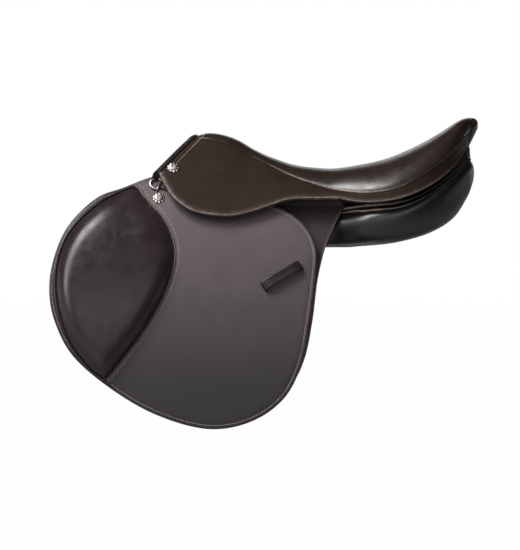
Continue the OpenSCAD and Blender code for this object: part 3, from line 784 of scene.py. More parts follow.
class Finish(Enum):
    """The finishes of the saddle."""

    # The seat's light worn tone colours the piping: wear, and partly a painted highlight along it.
    SEAT = Leather("seat_hide", (44, 34, 29), (37, 28, 24), (132, 117, 106), 0.29, 0.46, 0.0, 1500.0, 0.02)
    # The flap's low tone is painted shade, darker towards the bottom and lighter towards the top.
    FLAP = Leather("flap_hide", (94, 82, 85), (85, 74, 77), (26, 22, 23), 0.45, 0.30, 0.0, 1100.0, 0.12,
                   (49, 45, 46))
    PAD = Leather("pad_hide", (44, 35, 37), (37, 29, 31), (28, 23, 24), 0.26, 0.28, 0.0, 1700.0, 0.03)
    # The panel's light worn tone colours its welts: wear, and partly a painted highlight along them.
    PANEL = Leather("panel_hide", (21, 19, 19), (17, 15, 15), (176, 156, 142), 0.33, 0.62, 0.0, 1700.0, 0.03)
    # The skirt's light worn tone marks worn edges and partly paints the highlight along its hem and bead.
    SKIRT = Leather("skirt_hide", (48, 37, 31), (42, 32, 27), (168, 152, 142), 0.45, 0.05, 0.0, 1300.0, 0.08)
    STRAP = Leather("strap_hide", (62, 50, 46), (48, 38, 34), (100, 84, 76), 0.40, 0.28, 0.08)
    SWEAT = Leather("sweat_hide", (60, 51, 53), (52, 44, 46), (112, 98, 96), 0.46, 0.20)
    THREAD = Leather("waxed_thread", (178, 162, 154), (150, 135, 128), (190, 174, 166), 0.55, 0.25, 0.0,
                     2600.0, 0.5)
    DARK_THREAD = Leather("dark_thread", (84, 72, 68), (66, 56, 52), (90, 78, 74), 0.55, 0.25, 0.0,
                          2600.0, 0.5)
    NICKEL = Metal("nickel", (196, 190, 186), 0.34)
    STEEL = Metal("rolled_steel", (168, 166, 163), 0.34)
    BEECH = Beech("beech_ply", (92, 68, 48), (70, 50, 34))
    LINEN = Woven("linen_web", (196, 184, 160), (150, 138, 116))
    WEB = Woven("girth_webbing", (62, 54, 52), (44, 38, 36))

    @property
    def material(self) -> bpy.types.Material:
        """The finish's material, made once."""
        found = bpy.data.materials.get(self.value.name)
        return found or self.value.material()


def dress(piece: bpy.types.Object, finish: Finish) -> bpy.types.Object:
    """Gives a new piece its finish.

    Args:
        piece: The piece.
        finish: Its finish.

    Returns:
        The piece.
    """
    piece.data.materials.clear()
    piece.data.materials.append(finish.material)
    LOG.info("piece %s: %s", piece.name, finish.value.name)
    return piece


def ride(piece: bpy.types.Object, body: str = BODY) -> bpy.types.Object:
    """Fixes a piece to a body of the construction."""
    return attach(piece, body)


# Rows of stitches and welts, made by node trees


class RowTree(NodeSheet):
    """A geometry node tree with named inputs that makes rows along lines."""

    def __init__(self, name: str, inputs: dict[str, float]) -> None:
        """Starts a tree.

        Args:
            name: Name of the tree.
            inputs: Names of its number inputs, with their usual values.
        """
        super().__init__(bpy.data.node_groups.new(name, "GeometryNodeTree"))
        self.tree.is_modifier = True
        face = self.tree.interface
        face.new_socket("Geometry", in_out="INPUT", socket_type="NodeSocketGeometry")
        self.sockets = {}
        for key, value in inputs.items():
            kind = "NodeSocketInt" if isinstance(value, int) else "NodeSocketFloat"
            socket = face.new_socket(key, in_out="INPUT", socket_type=kind)
            socket.default_value = value
            self.sockets[key] = socket.identifier
        finish = face.new_socket("Finish", in_out="INPUT", socket_type="NodeSocketMaterial")
        self.sockets["Finish"] = finish.identifier
        face.new_socket("Geometry", in_out="OUTPUT", socket_type="NodeSocketGeometry")
        self.given = self.add("NodeGroupInput").outputs
        self.result = self.add("NodeGroupOutput").inputs

    def spaced(self, step: str) -> bpy.types.NodeSocket:
        """Turns the given lines into curves with evenly spaced points.

        Args:
            step: Name of the input that says how far apart the points are.

        Returns:
            The curves.
        """
        line = self.add("GeometryNodeMeshToCurve", {0: self.given["Geometry"]}).outputs[0]
        inputs = {"Curve": line, "Length": self.given[step]}
        return self.add("GeometryNodeResampleCurve", inputs, mode="LENGTH").outputs[0]

    def close(self, shape: bpy.types.NodeSocket) -> None:
        """Ends the tree in real, smooth, dressed mesh.

        Args:
            shape: What the tree has made.
        """
        real = self.add("GeometryNodeRealizeInstances", {0: shape}).outputs[0]
        smooth = self.add("GeometryNodeSetShadeSmooth", {0: real}).outputs[0]
        dressed = self.add("GeometryNodeSetMaterial", {"Geometry": smooth, "Material": self.given["Finish"]})
        self.fill(self.result[0], dressed.outputs[0])

    def run(self, piece: bpy.types.Object, finish: Finish, **values: float) -> bpy.types.Object:
        """Runs the tree on a piece that holds only lines.

        Args:
            piece: The piece, whose edges are the lines to follow.
            finish: The finish of what is made.
            values: The tree's inputs, by name.

        Returns:
            The piece as plain mesh.
        """
        modifier = piece.modifiers.new("rows", "NODES")
        modifier.node_group = self.tree
        for key, value in values.items():
            modifier[self.sockets[key]] = value
        modifier[self.sockets["Finish"]] = finish.material
        return settle(piece)


def stitch_tree() -> RowTree:
    """Makes the tree that sews a row of stitches along each line.

    Returns:
        The tree.
    """
    t = RowTree("stitch_row", {"Pitch": 3.6 * MM, "Length": 2.8 * MM, "Radius": 0.68 * MM, "Seed": 7})
    marks = t.add("GeometryNodeCurveToPoints", {"Curve": t.spaced("Pitch")}, mode="EVALUATED").outputs
    half = t.math("MULTIPLY", t.given["Length"], 0.5)
    size = t.add("ShaderNodeCombineXYZ", {0: t.given["Radius"], 1: t.given["Radius"], 2: half}).outputs[0]
    bead = t.add("GeometryNodeMeshUVSphere", {"Segments": 6, "Rings": 5, "Radius": 1.0}).outputs[0]
    uneven = t.add("FunctionNodeRandomValue", {2: 0.9, 3: 1.1, "Seed": t.given["Seed"]},
                   data_type="FLOAT").outputs[1]
    scale = t.add("ShaderNodeVectorMath", {0: size, 3: uneven}, operation="SCALE").outputs[0]
    sewn = t.add("GeometryNodeInstanceOnPoints", {"Points": marks["Points"], "Instance": bead,
                                                  "Rotation": marks["Rotation"], "Scale": scale})
    t.close(sewn.outputs[0])
    return t


def welt_tree() -> RowTree:
    """Makes the tree that runs a round welt along each line.

    Returns:
        The tree.
    """
    t = RowTree("welt_run", {"Radius": 1.8 * MM, "Step": 3.0 * MM})
    spaced = t.spaced("Step")
    ring = t.add("GeometryNodeCurvePrimitiveCircle", {"Resolution": 10, "Radius": t.given["Radius"]},
                 mode="RADIUS").outputs[0]
    run = t.add("GeometryNodeCurveToMesh", {"Curve": spaced, "Profile Curve": ring, "Fill Caps": True})
    t.close(run.outputs[0])
    return t


STITCHES = stitch_tree()
WELTS = welt_tree()


def line_piece(name: str, lines: Sequence[Line]) -> bpy.types.Object:
    """Makes a piece of bare edges.

    Args:
        name: Name of the piece.
        lines: Lines of points, each with whether it is closed.

    Returns:
        The piece.
    """
    points, edges = [], []
    for line, closed in lines:
        start = len(points)
        points += [tuple(p) for p in line]
        edges += [(start + i, start + i + 1) for i in range(len(line) - 1)]
        if closed:
            edges.append((start + len(line) - 1, start))
    mesh = bpy.data.meshes.new(name)
    mesh.from_pydata(points, edges, [])
    return put(name, mesh)


def sew(name: str, lines: Sequence[Line], finish: Finish = Finish.THREAD) -> bpy.types.Object:
    """Sews rows of stitches along lines.

    Args:
        name: Name of the piece.
        lines: Lines of points, each with whether it is closed.
        finish: The thread.

    Returns:
        The stitches, as one piece.
    """
    piece = STITCHES.run(line_piece(name, lines), finish)
    LOG.info("piece %s: %d lines of stitches", name, len(lines))
    return piece


def welt(name: str, line: np.ndarray, finish: Finish, radius: float) -> bpy.types.Object:
    """Runs a welt along an open line.

    Args:
        name: Name of the piece.
        line: Points of the line.
        finish: Its leather.
        radius: Its radius.

    Returns:
        The welt.
    """
    piece = WELTS.run(line_piece(name, [(line, False)]), finish, Radius=radius)
    LOG.info("piece %s: welt", name)
    return piece


# Leather cut to an outline and laid on the side curve


@dataclass(frozen=True)
class Cut:
    """A sheet or pad cut to a side view outline."""

    name: str
    outline: np.ndarray
    inner: float
    outer: Face
    insets_mm: tuple[float, ...]
    step: float
    wear_and_highlight: float = 1.0
    wear_and_highlight_reach: float = 2.2 * MM

    def flat_points(self, edge: np.ndarray) -> np.ndarray:
        """Spreads points over the cut in the side view.

        Args:
            edge: Points of its edge, counterclockwise.

        Returns:
            The edge, lines inside it and a grid, in this order.
        """
        low, high = edge.min(0), edge.max(0)
        across, up = (np.arange(low[k], high[k], self.step) for k in (0, 1))
        grid = np.stack(np.meshgrid(across, up), -1).reshape(-1, 2)
        grid = grid[inside(grid, edge)]
        grid = grid[edge_distance(grid, edge) > self.insets_mm[-1] * MM + 0.5 * self.step]
        return np.concatenate([edge, *(inset(edge, d * MM) for d in self.insets_mm), grid])

    def build(self, side: Side) -> bpy.types.Object:
        """Makes the closed mesh on one side.

        Args:
            side: Side of the saddle.

        Returns:
            The piece.
        """
        edge = counterclockwise(self.outline)
        n = len(edge)
        loops = [(i, (i + 1) % n) for i in range(n)]
        flat = [Vector(p) for p in self.flat_points(edge)]
        found, _, faces, sources, _, _ = delaunay_2d_cdt(flat, loops, [], 1, SAME_POINT)
        points = np.array([tuple(p) for p in found])
        faces = np.array([f for f in faces if len(f) == 3])
        ring = [0] * n
        for i, source in enumerate(sources):
            for k in source:
                if k < n:
                    ring[k] = i
        away = edge_distance(points, edge)
        away[ring] = 0
        top = CURVE.lay(points, self.outer(points, away), side)
        base = CURVE.lay(points, self.inner, side)
        k = len(points)
        solid = [tuple(f) for f in faces] + [tuple(k + f[::-1]) for f in faces]
        solid += [(a, k + a, k + b, b) for a, b in zip(ring, ring[1:] + ring[:1])]
        piece = make_piece(f"{self.name}_{side.label}", np.concatenate([top, base]), solid, side is Side.OFF)
        mark_wear_and_highlight(piece, np.tile(self.wear_and_highlight * np.exp(-(away / self.wear_and_highlight_reach)**2), 2))
        return piece


@dataclass(frozen=True)
class Rolled:
    """Face of a sheet with a rolled edge and, where it is sewn, a groove."""

    d: float
    radius: float
    groove_in: float = 0.0
    groove_deep: float = 0.0
    groove_half: float = 1.1 * MM

    def face(self, points: np.ndarray, away: np.ndarray) -> np.ndarray:
        """Finds how far the face stands from the flap's face.

        Args:
            points: Points in the side view; not used.
            away: Their distances from the edge.

        Returns:
            The distance of each point.
        """
        near = np.clip(away / self.radius, 0, 1)
        drop = self.radius * (1 - np.sqrt(np.maximum(1 - (1 - near)**2, 0)))
        return self.d - drop - self.groove_deep * np.exp(-((away - self.groove_in) / self.groove_half)**2)


@dataclass(frozen=True)
class Swelling:
    """Cloth simulation that swells a padded piece from inside, up to a cap."""

    cap: float
    held: Callable[[np.ndarray], np.ndarray]
    pressure: float = 4.0
    mass: float = 0.2
    stretch: float = 20.0
    shear: float = 10.0
    bending: float = 2.0
    quality: int = 6
    moments: int = 20

    def pushed(self, piece: bpy.types.Object, fixed: np.ndarray) -> np.ndarray:
        """Runs the simulation.

        Args:
            piece: The closed piece.
            fixed: Which of its points keep their place.

        Returns:
            Where its points end.
        """
        group = piece.vertex_groups.new(name="seam")
        group.add([int(i) for i in np.nonzero(fixed)[0]], 1.0, "REPLACE")
        cloth = piece.modifiers.new("swell", "CLOTH")
        settings = cloth.settings
        settings.quality = self.quality
        settings.mass = self.mass
        settings.use_pressure = True
        settings.uniform_pressure_force = self.pressure
        settings.tension_stiffness = settings.compression_stiffness = self.stretch
        settings.shear_stiffness = self.shear
        settings.bending_stiffness = self.bending
        settings.vertex_group_mass = "seam"
        settings.effector_weights.gravity = 0
        cloth.point_cache.frame_start = 1
        cloth.point_cache.frame_end = self.moments
        for moment in range(1, self.moments + 1):
            bpy.context.scene.frame_set(moment)
        graph = bpy.context.evaluated_depsgraph_get()
        swollen = bpy.data.meshes.new_from_object(piece.evaluated_get(graph))
        ends = mesh_points(swollen)
        bpy.data.meshes.remove(swollen)
        return ends

    def run(self, piece: bpy.types.Object) -> None:
        """Swells a piece along its normals, and leaves plain mesh.

        Args:
            piece: The closed piece.
        """
        rest = coordinates(piece)
        fixed = self.held(rest)
        ends = self.pushed(piece, fixed)
        out = np.empty(len(rest) * 3, np.float32)
        piece.data.vertex_normals.foreach_get("vector", out)
        out = out.reshape(-1, 3).astype(float)
        far = np.clip(np.sum((ends - rest) * out, axis=1), 0, self.cap)
        far[fixed] = 0
        piece.modifiers.clear()
        piece.vertex_groups.clear()
        piece.data.vertices.foreach_set("co", (rest + out * far[:, None]).astype(np.float32).ravel())
        piece.data.update()
        bpy.context.scene.frame_set(1)
        LOG.info("piece %s swelled by up to %.1f mm", piece.name, far.max() / MM)


# Sub-assemblies


@dataclass
class Flaps:
    """Flaps, knee pads and sweat flaps of both sides."""

    thick: float = 4.5 * MM
    edge: float = 2.0 * MM
    edge_step: float = 3.2 * MM
    groove_deep: float = 0.45 * MM
    stitch_in: float = 5.2 * MM
    stitch_sunk: float = 0.1 * MM
    flap_insets: tuple[float, ...] = (0.35, 1.0, 2.0, 3.6, 4.6, 5.2, 5.8, 6.8)
    flap_grid: float = 7 * MM
    border_in: float = 1.3 * MM
    border_rise: float = 0.7 * MM
    border_sunk: float = 0.4 * MM
    border_edge: float = 0.9 * MM
    border_insets: tuple[float, ...] = (0.3, 0.9, 2.4)
    border_end: tuple[float, float] = (-0.290, -0.214)
    border_row_end: tuple[float, float] = (-0.300, -0.165)
    border_row_in: float = 2.6 * MM
    border_row_rise: float = 0.85 * MM
    pad_dome: float = 16 * MM
    pad_rest: float = 0.75 * MM
    pad_wall: float = 1.2 * MM
    pad_rim: float = 2.5 * MM
    pad_fullness: int = 6
    pad_corner: float = 35 * MM
    pad_corner_drop: float = 0.5
    pad_step: float = 3.0 * MM
    pad_insets: tuple[float, ...] = (0.7, 1.8, 3.2)
    pad_grid: float = 4 * MM
    pad_wear_and_highlight: float = 0.2
    pad_swell: float = 5 * MM
    pad_held: float = 3.2 * MM
    pad_fill: float = 0.8
    seam_points: int = 13
    seam_step: float = 2.5 * MM
    bead_in: float = 2.0 * MM
    bead_rise: float = 1.2 * MM
    bead_r: float = 1.5 * MM
    rim_in: float = 2.2 * MM
    rim_rise: float = 1.4 * MM
    rim_r: float = 1.9 * MM
    pad_rows_mm: tuple[float, ...] = (4.6, 7.4)
    pad_rows_rise: float = 0.25 * MM
    sweat_out: float = -16.3 * MM
    sweat_thick: float = 3.0 * MM
    sweat_edge: float = 1.5 * MM
    sweat_step: float = 3.6 * MM
    sweat_row_in: float = 4.2 * MM
    sweat_groove: float = 0.3 * MM
    sweat_insets: tuple[float, ...] = (0.3, 0.8, 1.5, 3.2, 4.2, 5.2)
    sweat_grid: float = 9 * MM
    outline_mm: list = field(default_factory=lambda: [
        (-262, 100), (-304, 84), (-344, 68), (-384, 27), (-404, -22), (-409, -68), (-400, -112), (-374, -160),
        (-322, -205), (-255, -244), (-180, -265), (-118, -255), (-70, -222), (-44, -172), (-32, -110),
        (-24, -50), (-22, -8), (-34, 22), (-58, 45), (-92, 62), (-112, 68), (-160, 69), (-212, 72),
        (-224, 86), (-232, 101)])
    pad_mm: list = field(default_factory=lambda: [
        (-287, 83), (-276, 72), (-262, 55), (-250, 43), (-239, 26), (-231, 4), (-229, -18), (-233, -42),
        (-244, -72), (-262, -106), (-280, -134), (-300, -160), (-326, -191), (-334, -189), (-350, -177),
        (-378, -140), (-394, -95), (-399, -50), (-392, -8), (-374, 26), (-342, 57), (-312, 74)])
    sweat_mm: list = field(default_factory=lambda: [
        (-268, 50), (-330, 40), (-372, 10), (-392, -40), (-388, -98), (-354, -158), (-290, -212),
        (-220, -244), (-160, -252), (-108, -240), (-62, -206), (-40, -166), (-28, -110), (-20, -50),
        (-8, -2), (8, 34), (20, 63), (-10, 65), (-50, 64), (-160, 56)])

    def flap_edge(self) -> np.ndarray:
        """The flap's cut edge in the side view."""
        return even_line(smooth_line(np.array(self.outline_mm) * MM, CURVE_STEPS, True), self.edge_step, True)

    def pad_line(self) -> np.ndarray:
        """The knee pad's seam in the side view."""
        return smooth_line(np.array(self.pad_mm) * MM, CURVE_STEPS, True)

    def rear_seam(self) -> np.ndarray:
        """The knee pad's rear seam, from the top to the tip."""
        return self.pad_line()[:CURVE_STEPS * (self.seam_points - 1) + 1]

    def pad_face(self, points: np.ndarray, away: np.ndarray) -> np.ndarray:
        """Finds the height of the knee pad over the flap, a dome without creases.

        Args:
            points: Points in the side view.
            away: Their distances from the pad's edge.

        Returns:
            The height of each point.
        """
        step = 1 * MM
        line = even_line(self.pad_line(), step, True)
        reach = np.maximum(np.linalg.norm(points[:, None] - line[None], axis=2), step / 2)
        soft = np.sqrt(2 / np.sum(step / reach**3, axis=1))
        soft = np.where(away < self.pad_rim, away, soft)
        share = np.clip(soft / soft.max(), 0, 1)
        corner = np.linalg.norm(points - self.pad_line()[0], axis=1)
        height = self.pad_dome * (1 - self.pad_corner_drop * np.exp(-(corner / self.pad_corner)**2))
        return self.pad_rest + self.pad_wall + height * (1 - (1 - share)**self.pad_fullness)

    def front_edge(self, deep: float, end: tuple[float, float]) -> np.ndarray:
        """The flap's front edge, moved in, ahead of and above an end point."""
        edge = inset(counterclockwise(self.flap_edge()), deep)
        return edge[(edge[:, 0] < end[0]) & (edge[:, 1] > end[1])]

    def border_line(self) -> np.ndarray:
        """Draws the leather under the knee pad, from its rear seam to the flap's front edge.

        Returns:
            Its outline in the side view.
        """
        front = self.front_edge(self.border_in, self.border_end)
        seam = self.rear_seam()
        start = np.argmin(np.linalg.norm(front - seam[0], axis=1))
        front = np.roll(front, -start, axis=0)
        return even_line(np.vstack([front, seam[::-1]]), self.pad_step, True)

    def build_border(self, side: Side) -> None:
        """Makes the dark leather that shows round the front of one knee pad, and its stitches.

        Args:
            side: Side of the saddle.
        """
        face = Rolled(self.border_rise, self.border_edge).face
        cut = Cut("pad_border", self.border_line(), -self.border_sunk, face,
                  self.border_insets, self.flap_grid)
        FLAP_BEND.hang(dress(cut.build(side), Finish.PAD), side)
        front = self.front_edge(self.border_in + self.border_row_in, self.border_row_end)
        row = CURVE.lay(front, self.border_row_rise, side)
        FLAP_BEND.hang(sew(f"border_stitches_{side.label}", [(row, False)]), side)

    def build_flap(self, side: Side) -> None:
        """Makes one flap with its stitched edge.

        Args:
            side: Side of the saddle.
        """
        edge = self.flap_edge()
        face = Rolled(0, self.edge, self.stitch_in, self.groove_deep).face
        cut = Cut("flap_leather", edge, -self.thick, face, self.flap_insets, self.flap_grid)
        flap = dress(cut.build(side), Finish.FLAP)
        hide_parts(f"flap_{side.label}", f"flap_top_{side.label}")
        FLAP_BEND.hang(flap, side)
        row = CURVE.lay(inset(counterclockwise(edge), self.stitch_in), -self.stitch_sunk, side)
        FLAP_BEND.hang(sew(f"flap_stitches_{side.label}", [(row, True)]), side)

    def build_pad(self, side: Side) -> None:
        """Makes one knee pad with its welts and double row of stitches.

        Args:
            side: Side of the saddle.
        """
        line = even_line(self.pad_line(), self.pad_step, True)
        cut = Cut("knee_cushion", line, self.pad_rest, self.pad_face,
                  self.pad_insets, self.pad_grid, self.pad_wear_and_highlight)
        pad = cut.build(side)
        Swelling(self.pad_swell, lambda p: np.abs(p[:, 1]) - CURVE.y(p[:, 2], self.pad_held) < 0).run(pad)
        dress(pad, Finish.PAD)
        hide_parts(f"knee_pad_{side.label}")
        FLAP_BEND.hang(pad, side)
        self.trim_pad(side)

    def trim_pad(self, side: Side) -> None:
        """Makes the welts and the stitches along one knee pad.

        Args:
            side: Side of the saddle.
        """
        seam = even_line(self.rear_seam(), self.seam_step)
        front = np.vstack([self.pad_line()[len(self.rear_seam()) - 1:], self.pad_line()[:1]])
        bead = CURVE.lay(inset(seam, self.bead_in, False), self.bead_rise, side)
        FLAP_BEND.hang(welt(f"pad_welt_{side.label}", bead, Finish.FLAP, self.bead_r), side)
        rim = CURVE.lay(inset(even_line(front, self.seam_step), self.rim_in, False), self.rim_rise, side)
        FLAP_BEND.hang(welt(f"pad_rim_{side.label}", rim, Finish.PAD, self.rim_r), side)
        seams = [inset(seam, d * MM, False) for d in self.pad_rows_mm]
        rows = [(CURVE.lay(line, self.pad_rows_rise, side), False) for line in seams]
        FLAP_BEND.hang(sew(f"pad_stitches_{side.label}", rows), side)

    def build_sweat(self, side: Side) -> None:
        """Makes one sweat flap with its stitched edge.

        Args:
            side: Side of the saddle.
        """
        edge = even_line(smooth_line(np.array(self.sweat_mm) * MM, CURVE_STEPS, True), self.sweat_step, True)
        face = Rolled(self.sweat_out, self.sweat_edge, self.sweat_row_in, self.sweat_groove).face
        cut = Cut("sweat_leather", edge, self.sweat_out - self.sweat_thick, face,
                  self.sweat_insets, self.sweat_grid)
        sweat = dress(cut.build(side), Finish.SWEAT)
        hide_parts(f"sweat_flap_{side.label}")
        ride(sweat)
        row = CURVE.lay(inset(counterclockwise(edge), self.sweat_row_in), self.sweat_out, side)
        ride(sew(f"sweat_stitches_{side.label}", [(row, True)], Finish.DARK_THREAD))

    def build(self) -> None:
        """Makes both sides."""
        for side in Side:
            self.build_flap(side)
            self.build_border(side)
            self.build_pad(side)
            self.build_sweat(side)


@dataclass
class Keeper:
    """The stirrup leather's keeper on a flap."""

    x: float = -72 * MM
    z: float = -47 * MM
    turn: float = 33.0
    length: float = 66 * MM
    width: float = 15 * MM
    rise: float = 7.3 * MM
    thick: float = 2.6 * MM
    tail: float = -4.0 * MM
    bow_marks: int = 41
    bow_square: tuple[float, float] = (0.35, 0.5)
    step: float = 1.6 * MM
    ring_marks: int = 20
    ring_square: tuple[float, float] = (0.3, 0.6)
    row_half: float = 22 * MM
    row_marks: int = 12
    row_across: float = 5.4 * MM
    row_rise: float = 0.1 * MM

    def strap(self) -> np.ndarray:
        """Draws the strap, bowed between two slits.

        Returns:
            Its rings of points in the local frame.
        """
        a = np.linspace(0, math.pi, self.bow_marks)
        half, top = self.length / 2, self.rise + self.thick
        bow = np.stack([-half * squarish(np.cos(a), self.bow_square[0]),
                        top * np.sin(a)**self.bow_square[1]], axis=1)
        line = even_line(np.vstack([[-half, self.tail], bow, [half, self.tail]]), self.step)
        out = leftwards(np.gradient(line, axis=0))
        ring = np.linspace(0, 2 * math.pi, self.ring_marks, endpoint=False)
        deep = self.thick / 2 * squarish(np.sin(ring), self.ring_square[1]) - self.thick / 2
        rings = np.empty((len(line), len(ring), 3))
        rings[..., 0] = line[:, :1] + deep * out[:, :1]
        rings[..., 1] = line[:, 1:] + deep * out[:, 1:]
        rings[..., 2] = self.width / 2 * squarish(np.cos(ring), self.ring_square[0])
        return rings

    def place(self, points: np.ndarray, side: Side) -> np.ndarray:
        """Puts local points on the flap.

        Args:
            points: The points, in any grid.
            side: Side of the saddle.

        Returns:
            The points in the frame.
        """
        a = math.radians(self.turn)
        flat = points.reshape(-1, 3)
        turned = np.stack([flat[:, 0] * math.cos(a) - flat[:, 2] * math.sin(a), flat[:, 1],
                           flat[:, 0] * math.sin(a) + flat[:, 2] * math.cos(a)], axis=1)
        return CURVE.local(self.x, self.z, side)(turned).reshape(points.shape)

    def build(self) -> None:
        """Makes both keepers, with a row of stitches along each edge."""
        high = self.rise + self.thick + self.row_rise
        marks = np.linspace(-self.row_half, self.row_half, self.row_marks)
        rows = [np.array([[x, high, z] for x in marks]) for z in (-self.row_across, self.row_across)]
        for side in Side:
            body = f"{side.label}_flap"
            strap = loft_piece(f"keeper_{side.label}", self.place(self.strap(), side))
            dress(strap, Finish.PAD)
            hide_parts(f"leather_keeper_{side.label}")
            ride(strap, body)
            sewn = [(self.place(r, side), False) for r in rows]
            ride(sew(f"keeper_stitches_{side.label}", sewn, Finish.DARK_THREAD), body)


@dataclass(frozen=True)
class Section:
    """A section across the seat, which leans along the saddle: middle, welt and lower edge."""

    x: float
    lean: float
    crest: float
    welt_y: float
    welt_z: float
    dish: float
    foot_y: float = 0.0
    foot_z: float = 0.0
    crown_at: float = 0.45
    shoulder_at: float = 0.8
    shoulder_rise: float = 0.16
    side_start: tuple[float, float] = (0.33, 0.08)
    side_end: tuple[float, float] = (0.25, 0.45)

    @property
    def welt_at(self) -> np.ndarray:
        """The welt's place in the section."""
        return np.array([self.welt_y, self.welt_z])

    @property
    def foot_x(self) -> float:
        """X of the lower edge."""
        return self.x - self.lean * (self.crest - self.foot_z)

    def top(self, t: float) -> np.ndarray:
        """Finds a point of the top.

        Args:
            t: Share of the way from the middle to the welt.

        Returns:
            The point as [y, z].
        """
        crown = self.crest - self.dish
        shoulder = self.crest + self.shoulder_rise * (self.crest - self.welt_z)
        return bezier(np.array([0, crown]), np.array([self.crown_at * self.welt_y, crown]),
                      np.array([self.shoulder_at * self.welt_y, shoulder]), self.welt_at, t)

    def side(self, t: float) -> np.ndarray:
        """Finds a point of the side.

        Args:
            t: Share of the way from the welt to the lower edge.

        Returns:
            The point as [y, z].
        """
        foot = np.array([self.foot_y, self.foot_z])
        fall = self.welt_at - foot
        start, end = self.welt_at - fall * self.side_start, foot + fall * self.side_end
        return bezier(self.welt_at, start, end, foot, t)

    def stand(self, yz: np.ndarray, way: float) -> np.ndarray:
        """Stands a section point up in the frame, on the side that way gives."""
        return np.array([self.x - self.lean * (self.crest - yz[1]), way * yz[0], yz[1]])


